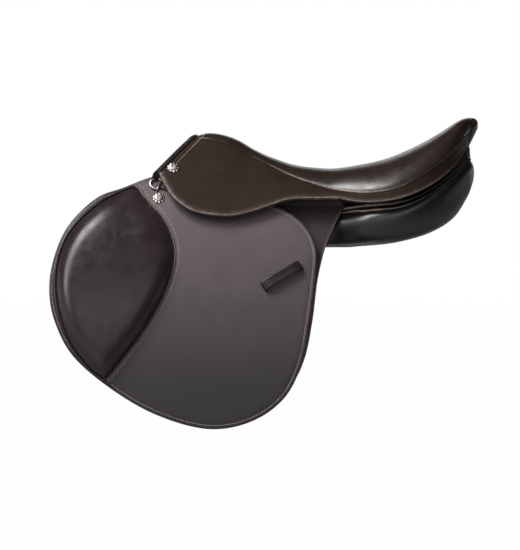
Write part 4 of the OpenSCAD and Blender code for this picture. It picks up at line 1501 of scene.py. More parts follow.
@dataclass
class Seat:
    """Seat, skirts, welts, pommel roll and cantle."""

    skirt_out: float = 15 * MM
    edge_gap: float = 2.2 * MM
    leather: float = 3.4 * MM
    bevel: float = 1.1 * MM
    bevel_from: float = 50.0
    welt_r: float = 1.4 * MM
    welt_rise: float = 0.5 * MM
    welt_share: float = 0.03
    lining: float = 3 * MM
    foam: float = 12 * MM
    foam_fullness: int = 6
    foam_fill: float = 0.85
    top_steps: int = 16
    side_steps: int = 10
    flat_steps: int = 16
    row_steps: int = 8
    section_count: int = 110
    smooth_sections: int = 2
    column_steps: int = 30
    band_from: float = 12 * MM
    merge_from: float = -50 * MM
    piping_from: float = -97 * MM
    piping_short: int = 3
    hem_step: float = 2.5 * MM
    hem_fine: float = 1 * MM
    # The light hem edge is worn cut edge and partly a painted highlight.
    hem_wear_and_highlight: float = 1.5 * MM
    hem_wear_and_highlight_in: float = 1.2 * MM
    bead_in: float = 0.6 * MM
    bead_r: float = 0.65 * MM
    # The bead's light tone is brightest at the front: partly a painted highlight.
    bead_wear_and_highlight_x: tuple[float, float] = (-0.2, -0.14)
    bead_wear_and_highlight: tuple[float, float] = (1.0, 0.35)
    # rim: a dark welt under the bead, the dyed cut edge that also paints a thicker shadow under the hem.
    rim_drop: float = 1.5 * MM
    rim_in: float = 1.4 * MM
    rim_r: float = 1.4 * MM
    row_in: float = 4.5 * MM
    row_rise: float = 0.15 * MM
    row_run: tuple[int, int] = (2, -3)
    roll_in: float = -2.5 * MM
    roll_out: float = 1.5 * MM
    roll_ahead: float = 5.2 * MM
    roll_r: float = 5.4 * MM
    roll_sides: int = 14
    tuck: tuple[float, float, float] = (-1.6 * MM, -3.2 * MM, -5 * MM)
    tuck_steps: int = 3
    pommel_row_at: int = 3
    pommel_row_rise: float = 0.1 * MM
    tip_z: float = 176 * MM
    cap_tuck: float = 0.97
    cap_tuck_x: float = 3 * MM
    cap_rings: int = 12
    cap_turn: float = 1.52
    cap_square: float = 0.8
    cap_out: float = 2.2 * MM
    cap_high: float = 8.3 * MM
    cap_high_from: float = 146 * MM
    cap_high_over: float = 28 * MM
    front_rows: list = field(default_factory=lambda: [
        (-195, 0.95, 163, 36, 157, 0), (-176, 0.9, 167, 42, 158, 0), (-140, 0.7, 158, 48, 148, 0),
        (-113, 0.5, 142, 55, 132, 0), (-86, 0.25, 128.5, 68, 117, -1.5), (-50, 0.1, 116, 84, 99, -2.5),
        (-4, 0, 110.5, 103, 83, -3)])
    rear_rows: list = field(default_factory=lambda: [
        (12, 0, 110.8, 110, 80, -3.5, 0, 68), (45, 0, 114.5, 126, 76, -5, 0, 62.5),
        (80, 0, 120.5, 136, 79, -7, 11, 64), (110, 0, 132, 136, 88, -7, 16, 71),
        (140, 0, 148, 126, 106, -5.5, 14, 84), (170, 0.03, 167, 106, 128, -4.5, 6, 103),
        (190, 0.07, 183, 80, 147, -2, -8, 121), (203, 0.12, 188.5, 50, 163, -1.5, -26, 136),
        (211, 0.15, 188, 26, 172, -1, -46, 143)])
    skirt_mm: list = field(default_factory=lambda: [
        (-250, 106), (-243, 92), (-231, 72), (-219, 61), (-203, 51), (-178, 45), (-146, 43), (-117, 49),
        (-84, 60), (-66, 66), (-46, 68), (-20, 68), (-4, 68.5)])

    def bend_foot(self, r: Section) -> np.ndarray:
        """Finds where a section meets the skirt's bend.

        Args:
            r: The section.

        Returns:
            The point in the side view.
        """
        x = r.x - r.lean * (r.crest - SKIRT_BEND.height(r.x))
        z = SKIRT_BEND.height(x) + self.edge_gap
        return np.array([r.x - r.lean * (r.crest - z), z])

    def rows(self) -> np.ndarray:
        """Lists the seat's section rows, with the place of the lower edge.

        Returns:
            The rows in metres, in the order of a section's fields.
        """
        rows = []
        for x, lean, *sizes in self.front_rows:
            row = [x * MM, lean, *(v * MM for v in sizes)]
            z = self.bend_foot(Section(*row))[1]
            rows.append([*row, float(CURVE.y(z, self.skirt_out)), z])
        for x, lean, *sizes in self.rear_rows:
            *row, out, z = [x * MM, lean, *(v * MM for v in sizes)]
            rows.append([*row, float(CURVE.y(z, self.skirt_out)) + out, z])
        return np.array(rows)

    def sections(self) -> list[Section]:
        """Works out every section that is built, evenly spaced and smooth along the saddle.

        Returns:
            The sections, from the pommel to the cantle.
        """
        rows = smooth_line(self.rows(), self.row_steps)
        rows = between(np.linspace(rows[0, 0], rows[-1, 0], self.section_count), rows[:, 0], rows)
        reach = 3 * self.smooth_sections
        weights = np.exp(-0.5 * (np.arange(-reach, reach + 1) / self.smooth_sections)**2)
        weights /= weights.sum()
        wide = np.pad(rows, ((reach, reach), (0, 0)), mode="reflect", reflect_type="odd")
        columns = [np.convolve(column, weights, "valid") for column in wide.T]
        return [Section(*map(float, row)) for row in zip(*columns)]

    def build_top(self, sections: Sequence[Section]) -> None:
        """Makes the seat's top as one crowned, padded piece.

        Args:
            sections: The seat's sections.
        """
        shares = np.linspace(0, 1, self.top_steps + 1)
        whole = [(-1, t) for t in shares[:0:-1]] + [(1, t) for t in shares]
        outer, inner = [], []
        for r in sections:
            outer.append([r.stand(r.top(t), way) for way, t in whole])
            inner.append([r.stand(r.top(t) - (0, self.lining + self.foam * (1 - t**self.foam_fullness)), way)
                          for way, t in whole])
        seat = dress(slab_piece("seat", np.array(outer), np.array(inner)), Finish.SEAT)
        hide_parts("seat_cover", "seat_foam")
        ride(seat)

    def free_edge(self, sections: Sequence[Section]) -> np.ndarray:
        """Finds where the leather below the welt ends.

        Args:
            sections: The seat's sections.

        Returns:
            The end of each section, as points of the off side.
        """
        hem = even_line(smooth_line(np.array(self.skirt_mm) * MM, CURVE_STEPS), self.hem_fine)
        feet = np.array([self.bend_foot(r) for r in sections])
        front = feet[:, 0] <= hem[-1, 0]
        run = lengths(feet[front])
        along = np.linspace(0, run[-1], len(hem))
        ends = []
        for i, r in enumerate(sections):
            if front[i]:
                ends.append(CURVE.lay(between(run[i], along, hem), self.skirt_out, Side.OFF)[0])
            elif r.x < self.band_from:
                z = np.interp(r.x, [hem[-1, 0], self.band_from], [hem[-1, 1], self.rear_rows[0][-1] * MM])
                ends.append(np.array([r.x, float(CURVE.y(z, self.skirt_out)), z]))
            else:
                ends.append(np.array([r.foot_x, r.foot_y, r.foot_z]))
        return np.array(ends)

    def bent_column(self, r: Section, end: np.ndarray) -> np.ndarray:
        """Runs leather from a section's welt over the skirt's bend.

        Args:
            r: The section.
            end: Where the skirt ends.

        Returns:
            Points of the off side, from the welt to the end.
        """
        foot = self.bend_foot(r)
        bent = replace(r, foot_y=float(CURVE.y(foot[1], self.skirt_out)), foot_z=foot[1])
        column = [bent.stand(bent.side(t), 1) for t in np.linspace(0, 1, self.side_steps)]
        for v in np.linspace(0, 1, self.flat_steps)[1:]:
            column.append(CURVE.lay(foot * (1 - v) + end[[0, 2]] * v, self.skirt_out, Side.OFF)[0])
        return np.array(column)

    def skirt_grid(self, sections: Sequence[Section], side: Side) -> np.ndarray:
        """Runs the leather below the welt: over the bend as skirt, and straight down as band behind it.

        Args:
            sections: The seat's sections.
            side: Side of the saddle.

        Returns:
            Its points, by section and place.
        """
        shares = np.linspace(0, 1, self.column_steps)
        grid = []
        for r, end in zip(sections, self.free_edge(sections)):
            merge = np.clip((r.x - self.merge_from) / (self.band_from - self.merge_from), 0, 1)
            merge = merge * merge * (3 - 2 * merge)
            straight = replace(r, foot_y=end[1], foot_z=end[2])
            band = np.array([straight.stand(straight.side(t), 1) for t in shares])
            band[:, 0] += shares * (end[0] - band[-1, 0])
            if merge < 1:
                column = self.bent_column(r, end)
                run = lengths(column)
                band = between(shares * run[-1], run, column) * (1 - merge) + band * merge
            grid.append(band * (1, side.value, 1))
        return np.array(grid)

    def skin(self, name: str, grid: np.ndarray, side: Side) -> bpy.types.Object:
        """Makes a leather skin with rounded edges.

        Args:
            name: Name of the piece.
            grid: Points of its outer face.
            side: Side of the saddle.

        Returns:
            The piece.
        """
        piece = sheet_piece(name, grid, self.leather, side is Side.OFF)
        soft = piece.modifiers.new("soft", "BEVEL")
        soft.width = self.bevel
        soft.segments = 3
        soft.limit_method = "ANGLE"
        soft.angle_limit = math.radians(self.bevel_from)
        return settle(piece)

    def build_skirts(self, sections: Sequence[Section]) -> None:
        """Makes the skirts with the bands behind them.

        Args:
            sections: The seat's sections.
        """
        for side in Side:
            grid = self.skirt_grid(sections, side)
            skirt = dress(self.skin(f"skirt_leather_{side.label}", grid, side), Finish.SKIRT)
            # The light edge along the hem is worn cut edge and partly a painted highlight along the lower
            # edge.
            edge = grid[:, -1] - (0, side.value * self.hem_wear_and_highlight_in, 0)
            mark_wear_and_highlight(skirt, np.exp(-edge_distance(coordinates(skirt), edge, False) / self.hem_wear_and_highlight))
            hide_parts(f"skirt_{side.label}")
            SKIRT_BEND.hang(skirt, side)
            self.trim_skirt(grid[:, -1], side)

    def trim_skirt(self, edge: np.ndarray, side: Side) -> None:
        """Makes the light bead, a pale edge that is partly a painted highlight and brightest at the front,
        the dark rim, a dyed edge that partly paints the shadow under the hem, and the stitches along one
        skirt.

        Args:
            edge: The skirt's free edge.
            side: Side of the saddle.
        """
        bead = even_line(edge, self.hem_step)
        bead = bead[bead[:, 0] < self.band_from] - (0, side.value * self.bead_in, 0)
        piece = welt(f"skirt_edge_{side.label}", bead, Finish.SKIRT, self.bead_r)
        # Painted highlight: the bead is lightest at the front and dimmer further back.
        mark_wear_and_highlight(piece, np.interp(coordinates(piece)[:, 0], self.bead_wear_and_highlight_x, self.bead_wear_and_highlight))
        SKIRT_BEND.hang(piece, side)
        # The dark rim under the bead is the dyed edge and partly a painted shadow under the hem.
        run = np.gradient(bead, axis=0)[:, [2, 1, 0]] * (1, 0, -1)
        below = self.rim_drop * run / np.linalg.norm(run, axis=1)[:, None]
        rim = bead + below - (0, side.value * self.rim_in, 0)
        SKIRT_BEND.hang(welt(f"skirt_rim_{side.label}", rim, Finish.PANEL, self.rim_r), side)
        hem = even_line(smooth_line(np.array(self.skirt_mm) * MM, CURVE_STEPS), self.hem_step)
        seam = inset(hem, self.row_in, False)[slice(*self.row_run)]
        row = CURVE.lay(seam, self.skirt_out + self.row_rise, side)
        sewn = sew(f"skirt_stitches_{side.label}", [(row, False)], Finish.DARK_THREAD)
        SKIRT_BEND.hang(sewn, side)

    def welt_line(self, sections: Sequence[Section], side: Side) -> np.ndarray:
        """Runs a line along the welt, a little outside the leather.

        Args:
            sections: The sections that have a welt.
            side: Side of the saddle.

        Returns:
            Points of the line.
        """
        line = []
        for r in sections:
            a, b = r.top(1 - self.welt_share), r.side(self.welt_share)
            out = np.array([a[1] - b[1], b[0] - a[0]])
            out /= np.linalg.norm(out)
            line.append(r.stand(r.welt_at + self.welt_rise * out, side.value))
        return np.array(line)

    def build_welts(self, sections: Sequence[Section]) -> None:
        """Makes the welts between the seat and the skirts.

        Args:
            sections: The seat's sections.
        """
        piped = [r for r in sections[:-self.piping_short] if r.x > self.piping_from]
        for side in Side:
            line = self.welt_line(piped, side)
            piece = welt(f"seat_piping_{side.label}", line, Finish.SEAT, self.welt_r)
            # The piping's lighter stretch is wear and partly a painted highlight.
            WeltWearAndHighlight(self.piping_from).mark(piece)
            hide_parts(f"seat_welt_{side.label}")
            ride(piece)

    def arch(self, r: Section, away: float) -> np.ndarray:
        """Runs a section's whole line from the near edge to the off edge.

        Args:
            r: The section.
            away: How far outside the leather it runs.

        Returns:
            Points of the line.
        """
        half = [r.top(t) for t in np.linspace(0, 1, self.top_steps + 1)]
        half += [r.side(t) for t in np.linspace(0, 1, self.side_steps + 1)[1:]]
        line = np.array([(-p[0], p[1]) for p in half[:0:-1]] + half)
        return np.array([r.stand(p, 1) for p in inset(line, away, False)])

    def build_pommel(self, sections: Sequence[Section]) -> None:
        """Makes the rolled front edge of the pommel, tucked under the flaps' tops, and its stitches.

        Args:
            sections: The seat's sections.
        """
        centre, outer = self.arch(sections[0], self.roll_in), self.arch(sections[0], self.roll_out)
        for _ in range(self.tuck_steps):
            for end in (0, -1):
                step = np.array(self.tuck) * (1, np.sign(centre[end][1]), 1)
                at = 0 if end == 0 else len(centre)
                centre = np.insert(centre, at, centre[end] + step, axis=0)
                outer = np.insert(outer, at, outer[end] + step, axis=0)
        angles = np.linspace(0, 2 * math.pi, self.roll_sides, endpoint=False)
        fore = np.array([-1.0, 0, 0])
        ahead = [fore * (self.roll_ahead + self.roll_r * math.cos(a)) for a in angles]
        rings = [[c + f + (o - c) * math.sin(a) for f, a in zip(ahead, angles)]
                 for c, o in zip(centre, outer)]
        roll = dress(loft_piece("pommel_roll", np.array(rings)), Finish.PAD)
        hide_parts("pommel_facing")
        ride(roll)
        line = self.arch(sections[self.pommel_row_at], self.pommel_row_rise)
        ride(sew("pommel_stitches", [(line[1:-1], False)]))

    def build_cantle(self, sections: Sequence[Section]) -> None:
        """Makes the rounded end of the cantle.

        Args:
            sections: The seat's sections.
        """
        line = self.arch(sections[-1], 0)
        middle = np.array([line[:, 0].mean(), 0, self.tip_z])
        rings = [middle + (line - middle) * self.cap_tuck - (self.cap_tuck_x, 0, 0)]
        for a in np.linspace(0, self.cap_turn, self.cap_rings):
            flat = math.cos(a)**self.cap_square
            ring = middle + (line - middle) * (flat, math.cos(a), flat)
            high = self.cap_high * np.clip((ring[:, 2] - self.cap_high_from) / self.cap_high_over, 0, 1)
            ring[:, 0] += self.cap_out * math.sin(a)**2 + high * math.sin(a)
            rings.append(ring)
        cap = dress(loft_piece("cantle_end", np.array(rings)), Finish.SEAT)
        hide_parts("cantle_cap")
        ride(cap)

    def build(self) -> None:
        """Makes the whole seat."""
        sections = self.sections()
        self.build_top(sections)
        self.build_skirts(sections)
        self.build_welts(sections)
        self.build_pommel(sections)
        self.build_cantle(sections)


@dataclass(frozen=True)
class PanelWelt:
    """A welt along the top of a panel, with the turns it follows at the waist and further back."""

    name: str
    waist: float
    rear: float
    out: float
    radius: float


@dataclass
class Panels:
    """The two wool panels under the tree, their welts and the facing above them."""

    square: float = 0.65
    sides: int = 44
    least: float = 1 * MM
    shrink: float = 2.2 * MM
    row_steps: int = 6
    swell: float = 3.2 * MM
    held_before: float = -180 * MM
    held_above: float = 50 * MM
    fill: float = 0.75
    strip_thick: float = 1.8 * MM
    turn_x_mm: tuple[float, float] = (14, 130)
    welts: tuple[PanelWelt, ...] = (PanelWelt("panel_bead", 76, 58, 2.5 * MM, 2.0 * MM),
                                    PanelWelt("panel_piping", 64, 42, 0.7 * MM, 1.4 * MM))
    welt_x_mm: tuple[float, float] = (14, 206)
    welt_search: float = 4 * MM
    facing_x_mm: tuple[float, float] = (12, 207)
    facing_from: float = 8 * MM
    facing_share: float = 0.93
    facing_in: float = 3.8 * MM
    facing_turns: tuple[float, float] = (94, 72)
    facing_sunk: float = 3 * MM
    facing_bulge: float = 2.2 * MM
    facing_marks: int = 9
    top_from: float = -92 * MM
    top_to: float = 17 * MM
    top_rows: int = 24
    top_marks: int = 11
    top_lead: float = 3 * MM
    top_z: float = 74 * MM
    top_out: float = 9 * MM
    top_foot_z: float = 52 * MM
    top_foot_x: tuple[float, float] = (-68 * MM, -58 * MM)
    top_foot_d: tuple[float, float] = (-12.4 * MM, -15.9 * MM)
    top_hollow: float = 9 * MM
    top_square: float = 0.8
    rows_mm: list = field(default_factory=lambda: [
        (-262, 71.3, 22, 20, 6, 60), (-256, 71.3, 20, 43, 14, 60), (-215, 71.3, 20, 49, 16, 59),
        (-160, 72.3, 20, 49, 18, 50), (-100, 70.3, 22, 50, 20, 36), (-40, 66.3, 27, 42, 25, 26),
        (8, 66.3, 29, 40, 27, 20), (52, 80.3, 31, 51, 29, 8), (100, 84.3, 37, 54, 30, 6),
        (145, 81.3, 53, 51, 34, 4), (180, 71.3, 75, 43, 36, 2), (200, 60.3, 97, 31, 30, 0),
        (208, 55.3, 104, 17, 18, 0), (211, 53.3, 105, 6, 6, 0)])

    def point(self, row: np.ndarray, degrees: float, grow: float, side: Side) -> np.ndarray:
        """Finds a point of a panel section.

        Args:
            row: The section: x, y, z, half width, half height and tilt, in millimetres and degrees.
            degrees: The point's turn round the section.
            grow: How far outside the section it lies.
            side: Side of the saddle.

        Returns:
            The point in the frame.
        """
        x, y, z, wide, high, tilt = row
        a, lean = math.radians(degrees), math.radians(tilt)
        p = max(wide * MM + grow, self.least) * squarish(math.cos(a), self.square)
        q = max(high * MM + grow, self.least) * squarish(math.sin(a), self.square)
        out = y * MM + p * math.cos(lean) + q * math.sin(lean)
        return np.array([x * MM, side.value * out, z * MM - p * math.sin(lean) + q * math.cos(lean)])

    def build_facing(self, rows: np.ndarray, side: Side) -> None:
        """Makes the leather that joins one panel to the seat's lower edge and round the back.

        Args:
            rows: The panel's sections.
            side: Side of the saddle.
        """
        sections = [r for r in Seat().sections() if r.foot_x > self.facing_from]
        edge = np.array([[r.foot_x, *(r.side(self.facing_share) - (self.facing_in, 0))] for r in sections])
        shares = np.linspace(0, 1, self.facing_marks)
        bulge = [np.array([0, side.value, 0]) * self.facing_bulge * math.sin(math.pi * t) for t in shares]
        grid = []
        for row in rows:
            if self.facing_x_mm[0] < row[0] < self.facing_x_mm[1]:
                x, y, z = row[0] * MM, *between(row[0] * MM, edge[:, 0], edge[:, 1:])
                top = np.array([x, side.value * y, z])
                turn = np.interp(row[0], self.turn_x_mm, self.facing_turns)
                foot = self.point(row, turn, -self.facing_sunk, side)
                grid.append([top * (1 - t) + foot * t + b for t, b in zip(shares, bulge)])
        self.build_strip(f"panel_facing_{side.label}", grid, side, Finish.SEAT)

    def build_sweat_top(self, side: Side) -> None:
        """Makes the leather that runs from one sweat flap up under the skirt.

        Args:
            side: Side of the saddle.
        """
        grid = []
        for x in np.linspace(self.top_from, self.top_to, self.top_rows):
            top = CURVE.lay(np.array([x + self.top_lead, self.top_z]), self.top_out, side)[0]
            deep = np.interp(x, self.top_foot_x, self.top_foot_d)
            foot = CURVE.lay(np.array([x, self.top_foot_z]), deep, side)[0]
            column = []
            for t in np.linspace(0, 1, self.top_marks):
                hollow = self.top_hollow * math.sin(math.pi * t)**self.top_square
                column.append(top * (1 - t) + foot * t - (0, side.value * hollow, 0))
            grid.append(column)
        self.build_strip(f"sweat_top_{side.label}", grid, side, Finish.SWEAT)

    def build_strip(self, name: str, grid: Sequence, side: Side, finish: Finish) -> None:
        """Makes a thin strip of leather.

        Args:
            name: Name of the piece.
            grid: Points of its outer face.
            side: Side of the saddle.
            finish: Its leather.
        """
        strip = settle(sheet_piece(name, np.array(grid), self.strip_thick, side is Side.OFF))
        ride(dress(strip, finish))

    def build_panel(self, rows: np.ndarray, side: Side) -> bpy.types.Object:
        """Makes one panel.

        Args:
            rows: Its sections.
            side: Side of the saddle.

        Returns:
            The panel.
        """
        angles = np.linspace(0, 360, self.sides, endpoint=False)
        rings = np.array([[self.point(row, a, -self.shrink, side) for a in angles] for row in rows])
        panel = loft_piece(f"panel_wool_{side.label}", rings)
        Swelling(self.swell, lambda p: (p[:, 0] < self.held_before) & (p[:, 2] > self.held_above)).run(panel)
        dress(panel, Finish.PANEL)
        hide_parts(f"panel_{side.label}")
        ride(panel)
        return panel

    def build_welts(self, panel: bpy.types.Object, rows: np.ndarray, side: Side) -> None:
        """Makes the welts along the top of one panel, on its swelled face.

        Args:
            panel: The panel.
            rows: Its sections.
            side: Side of the saddle.
        """
        face = BVHTree.FromObject(panel, bpy.context.evaluated_depsgraph_get())
        run = [row for row in rows if self.welt_x_mm[0] < row[0] < self.welt_x_mm[1]]
        for w in self.welts:
            turns = [np.interp(row[0], self.turn_x_mm, (w.waist, w.rear)) for row in run]
            near = [self.point(row, turn, self.welt_search, side) for row, turn in zip(run, turns)]
            found = [face.find_nearest(Vector(p)) for p in near]
            line = np.array([f[0] + f[1] * w.out for f in found])
            piece = welt(f"{w.name}_{side.label}", line, Finish.PANEL, w.radius)
            # The welt's lighter stretch is wear and partly a painted highlight.
            WeltWearAndHighlight(0.0).mark(piece)
            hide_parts(f"panel_welt_{side.label}")
            ride(piece)

    def build(self) -> None:
        """Makes the facings, then both panels with their welts."""
        rows = smooth_line(np.array(self.rows_mm, float), self.row_steps)
        for side in Side:
            self.build_facing(rows, side)
            self.build_sweat_top(side)
        for side in Side:
            self.build_welts(self.build_panel(rows, side), rows, side)


@dataclass
class Linings:
    """Leather over the head of the tree and under the cantle."""

    point_d: float = -21.9 * MM
    point_z: tuple[float, float] = (80 * MM, -36 * MM)
    point_marks: int = 8
    arch_steps: int = 4
    arch_step: float = 5 * MM
    arch_out: float = 0.5 * MM
    deep_z: tuple[float, float] = (0, 30 * MM)
    deep: tuple[float, float] = (12.3 * MM, 15.8 * MM)
    ring_marks: int = 28
    wrap: float = 1.8 * MM
    square: float = 0.22
    cantle_from: float = 176 * MM
    cantle_in: float = 2.0 * MM
    cantle_step: float = 4 * MM
    cantle_marks: int = 8
    cantle_ahead: float = 9 * MM
    cantle_narrow: float = 0.94
    cantle_foot: float = 98 * MM
    cantle_rise: float = 0.25
    cantle_least: float = 2 * MM
    cantle_thick: float = 1.6 * MM
    crown_mm: list = field(default_factory=lambda: [(0, 147), (28, 145), (52, 136), (68, 118), (76, 98)])
    front_mm: list = field(default_factory=lambda: [(-266, -36), (-262, 60), (-250, 98), (-188, 163)])
    back_mm: list = field(default_factory=lambda: [(-236, -36), (-234, 60), (-227, 98), (-162, 163)])

    def arch(self) -> np.ndarray:
        """Draws the head's outer line, seen from the front.

        Returns:
            Points [y, z] from the near point to the off point.
        """
        half = [(y * MM, z * MM) for y, z in self.crown_mm]
        half += [(float(CURVE.y(z, self.point_d)), z) for z in np.linspace(*self.point_z, self.point_marks)]
        whole = [(-y, z) for y, z in half[:0:-1]] + half
        return even_line(smooth_line(whole, self.arch_steps), self.arch_step)

    def build_head(self) -> None:
        """Makes the sleeve round the head and its points."""
        outer = inset(self.arch(), -self.arch_out, False)
        inward = -leftwards(np.gradient(outer, axis=0))
        front, back = np.array(self.front_mm) * MM, np.array(self.back_mm) * MM
        rings = []
        for at, way in zip(outer, inward):
            deep = np.interp(at[1], self.deep_z, self.deep)
            ring = []
            for a in np.linspace(0, 2 * math.pi, self.ring_marks, endpoint=False):
                y, z = at + way * deep * (0.5 + 0.5 * squarish(math.cos(a), self.square))
                x0 = np.interp(z, front[:, 1], front[:, 0]) - self.wrap
                x1 = np.interp(z, back[:, 1], back[:, 0]) + self.wrap
                ring.append([(x0 + x1) / 2 + (x1 - x0) / 2 * squarish(math.sin(a), self.square), y, z])
            rings.append(ring)
        ride(dress(loft_piece("head_lining", np.array(rings)), Finish.SWEAT))

    def build_cantle(self) -> None:
        """Makes the apron under the cantle, between the panels."""
        sections = [r for r in Seat().sections() if r.foot_x > self.cantle_from]
        half = [np.array([r.foot_x, *(r.side(1.0) - (self.cantle_in, 0))]) for r in sections]
        edge = even_line(np.array([p * (1, -1, 1) for p in half] + half[::-1]), self.cantle_step)
        grid = []
        for p in edge:
            low = min(self.cantle_foot + self.cantle_rise * abs(p[1]), p[2] - self.cantle_least)
            foot = np.array([p[0] - self.cantle_ahead, p[1] * self.cantle_narrow, low])
            grid.append([p * (1 - t) + foot * t for t in np.linspace(0, 1, self.cantle_marks)])
        apron = settle(sheet_piece("cantle_lining", np.array(grid), self.cantle_thick, True))
        ride(dress(apron, Finish.PANEL))

    def build(self) -> None:
        """Makes both linings."""
        self.build_head()
        self.build_cantle()


@dataclass
class Fittings:
    """Finishes of the construction's own nodes that show, and the plates under the nails."""

    finishes: dict = field(default_factory=lambda: {
        Finish.BEECH: ("tree_frame", "tree_head"),
        Finish.STEEL: ("gullet_plate", "head_rivets", "tree_spring", "stirrup_bar", "bar_catch",
                       "catch_pins", "bar_rivets"),
        Finish.NICKEL: ("head_nails", "flap_nails", "dee_near", "dee_off"),
        Finish.LINEN: ("seat_web", "channel_lining"),
        Finish.WEB: ("girth_web",),
        Finish.STRAP: ("billet", "girth_guard", "dee_chape", "point_pocket")})
    petals: int = 9
    petal_marks: int = 16
    petal_cut_mm: float = 1.3
    petal_from_mm: float = 7
    tip_reach: float = 3.3 * MM
    shank_r: float = 4 * MM
    rosette_mm: tuple = (
        (9.2, -0.4, -0.4), (9.4, 0.2, 0.3), (8.6, 0.6, 1.2), (6.9, 0.6, 1.6), (5.0, 1.0, 1.2))

    def nail_seat(self, node: str, side: Side) -> tuple[np.ndarray, np.ndarray]:
        """Finds where a nail's head sits.

        Args:
            node: Node with the nail.
            side: Side of the saddle.

        Returns:
            The middle of the seat, and the direction out of the saddle.
        """
        points = coordinates(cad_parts[node])
        points = points[points[:, 1] * side.value > 0]
        middle = points.mean(0)
        far = points[np.argmax(np.linalg.norm(points - middle, axis=1))]
        tip = points[np.linalg.norm(points - far, axis=1) < self.tip_reach].mean(0)
        axis = (middle - tip) / np.linalg.norm(middle - tip)
        along = (points - tip) @ axis
        wide = np.linalg.norm(points - tip - along[:, None] * axis, axis=1) > self.shank_r
        return tip + axis * along[wide].min(), axis

    def build_rosette(self, node: str, side: Side) -> None:
        """Makes the petalled plate under one nail's head.

        Args:
            node: Node with the nail.
            side: Side of the saddle.
        """
        base, axis = self.nail_seat(node, side)
        across = np.cross(axis, (1.0, 0, 0))
        across /= np.linalg.norm(across)
        aside = np.cross(across, axis)
        turn = np.linspace(0, 2 * math.pi, self.petal_marks * self.petals, endpoint=False)
        petal = np.abs(np.cos(turn * self.petals / 2))
        rings = []
        for r, low, high in self.rosette_mm:
            reach = (r - self.petal_cut_mm * (1 - petal) * (r > self.petal_from_mm)) * MM
            lift = (low + (high - low) * petal) * MM
            rings.append(base + np.outer(reach * np.cos(turn), aside) + np.outer(reach * np.sin(turn), across)
                         + np.outer(lift, axis))
        ride(dress(loft_piece(f"{node}_rosette_{side.label}", np.array(rings)), Finish.NICKEL))

    def build(self) -> None:
        """Makes the rosettes and dresses the nodes."""
        for side in Side:
            self.build_rosette("head_nails", side)
            self.build_rosette("flap_nails", side)
        for finish, starts in self.finishes.items():
            for name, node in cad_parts.items():
                if name.startswith(starts):
                    node.data.materials.clear()
                    node.data.materials.append(finish.material)
                    LOG.info("node %s: %s", name, finish.value.name)


# Studio


@dataclass(frozen=True)
class Lamp:
    """A soft box that faces a point."""

    name: str
    at: tuple[float, float, float]
    to: tuple[float, float, float]
    size: tuple[float, float]
    watts: float

    def build(self) -> None:
        """Adds the lamp."""
        data = bpy.data.lights.new(self.name, "AREA")
        data.shape = "RECTANGLE"
        data.size, data.size_y = self.size
        data.energy = self.watts
        lamp = put(self.name, data)
        lamp.location = self.at
        lamp.rotation_euler = (Vector(self.to) - Vector(self.at)).to_track_quat("-Z", "Y").to_euler()


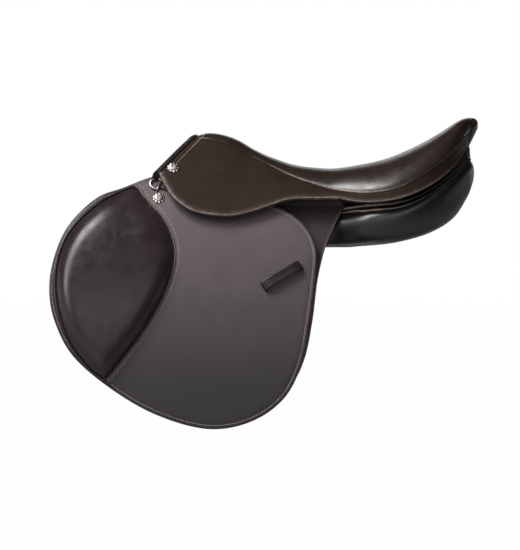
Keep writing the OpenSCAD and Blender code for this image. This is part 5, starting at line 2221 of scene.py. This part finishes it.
@dataclass
class Studio:
    """Camera, lamps, floor and background."""

    eye: tuple[float, float, float] = (-0.104, -7.0, -0.044)
    scale: float = 1.485 * MM
    width_px: int = 520
    sensor: float = 36.0
    view_end: float = 100.0
    soft: float = 0.5
    floor_z: float = -0.2672
    floor_half: float = 30.0
    floor_grey: float = 0.35
    floor_white: float = 0.98
    card_near: float = -4.2
    card_far: float = 5.0
    card_top: float = 2.8
    card_half: float = 7.0
    card_right: float = 3.0
    card_right_foot: float = 0.3
    card_grey: float = 0.02
    gap_tops: tuple[float, float] = (1.9, 0.9)
    gap_ends: tuple[float, float] = (-0.24, 0.35)
    lamps: tuple[Lamp, ...] = (
        Lamp("key", (-1.45, -0.9, 1.6), (-0.25, -0.1, 0), (0.8, 1.7), 40),
        Lamp("sheen", (-1.0, -0.5, 1.9), (-0.05, -0.12, 0.05), (0.9, 0.5), 21),
        Lamp("low", (-0.35, -2.1, 1.4), (-0.32, -0.15, -0.1), (1.4, 0.75), 6))

    def build_camera(self) -> None:
        """Puts the camera where the photograph was taken from."""
        data = bpy.data.cameras.new("camera")
        data.sensor_fit = "HORIZONTAL"
        data.sensor_width = self.sensor
        data.lens = self.sensor * -self.eye[1] / (self.scale * self.width_px)
        data.clip_end = self.view_end
        camera = put("camera", data)
        camera.location = self.eye
        camera.rotation_euler = (math.pi / 2, 0, 0)
        bpy.context.scene.camera = camera

    def build_world(self) -> None:
        """Makes a white background that lights the saddle softly."""
        world = bpy.data.worlds.new("studio")
        bpy.context.scene.world = world
        world.use_nodes = True
        s = NodeSheet(world.node_tree)
        soft = s.add("ShaderNodeBackground", {"Color": WHITE, "Strength": self.soft}).outputs[0]
        white = s.add("ShaderNodeBackground", {"Color": WHITE, "Strength": 1.0}).outputs[0]
        share = s.seen("Is Glossy Ray", "Is Transmission Ray")
        mixed = s.add("ShaderNodeMixShader", {0: share, 1: soft, 2: white}).outputs[0]
        s.add("ShaderNodeOutputWorld", {"Surface": mixed})

    def build_floor(self) -> None:
        """Makes a plain pale floor that keeps a faint shadow."""
        half, z = self.floor_half, self.floor_z
        corners = np.array([[-half, -half, z], [half, -half, z], [half, half, z], [-half, half, z]])
        floor = make_piece("floor", corners, [(0, 1, 2, 3)])
        material = bpy.data.materials.new("pale_floor")
        material.use_nodes = True
        s = NodeSheet(material.node_tree)
        chalk = s.add("ShaderNodeBsdfDiffuse", {"Color": (*[self.floor_grey] * 3, 1.0)}).outputs[0]
        glow = s.add("ShaderNodeEmission", {"Color": WHITE}).outputs[0]
        share = s.math("MULTIPLY", s.seen("Is Transmission Ray"), self.floor_white)
        mixed = s.add("ShaderNodeMixShader", {0: share, 1: chalk, 2: glow}).outputs[0]
        s.add("ShaderNodeOutputMaterial", {"Surface": mixed})
        floor.data.materials.append(material)

    def build_cards(self) -> None:
        """Makes dull black walls and a ceiling that only reflections meet, with a pale opening."""
        half, near, far, top = self.card_half, self.card_near, self.card_far, self.card_top
        high, low = self.gap_tops
        left, right = self.gap_ends
        points = [[half, near, top], [-half, near, top], [-half, far, top], [half, far, top]]
        foot = self.card_right_foot
        points += [[self.card_right, y, z] for y, z in ((near, foot), (near, top), (far, top), (far, foot))]
        for x, z0, z1 in ((-half, high, top), (left, low, high), (right, self.floor_z, low)):
            points += [[x, near, z1], [half, near, z1], [half, near, z0], [x, near, z0]]
        cards = make_piece("cards", np.array(points), np.arange(len(points)).reshape(-1, 4).tolist())
        s = ShaderSheet("black_card")
        s.set(Base_Color=(*[self.card_grey] * 3, 1.0), Roughness=1.0, Specular_IOR_Level=0.0)
        cards.data.materials.append(s.material)
        cards.visible_camera = cards.visible_diffuse = cards.visible_shadow = False

    def build(self) -> None:
        """Sets up the studio."""
        bpy.context.scene.view_settings.view_transform = "Standard"
        self.build_camera()
        self.build_world()
        self.build_floor()
        self.build_cards()
        for lamp in self.lamps:
            lamp.build()


def main() -> None:
    """Builds the sub-assemblies in order."""
    logging.basicConfig(level=logging.INFO, format="%(message)s")
    for assembly in (Studio(), Flaps(), Keeper(), Seat(), Panels(), Linings(), Fittings()):
        assembly.build()


if __name__ == "__main__":
    main()
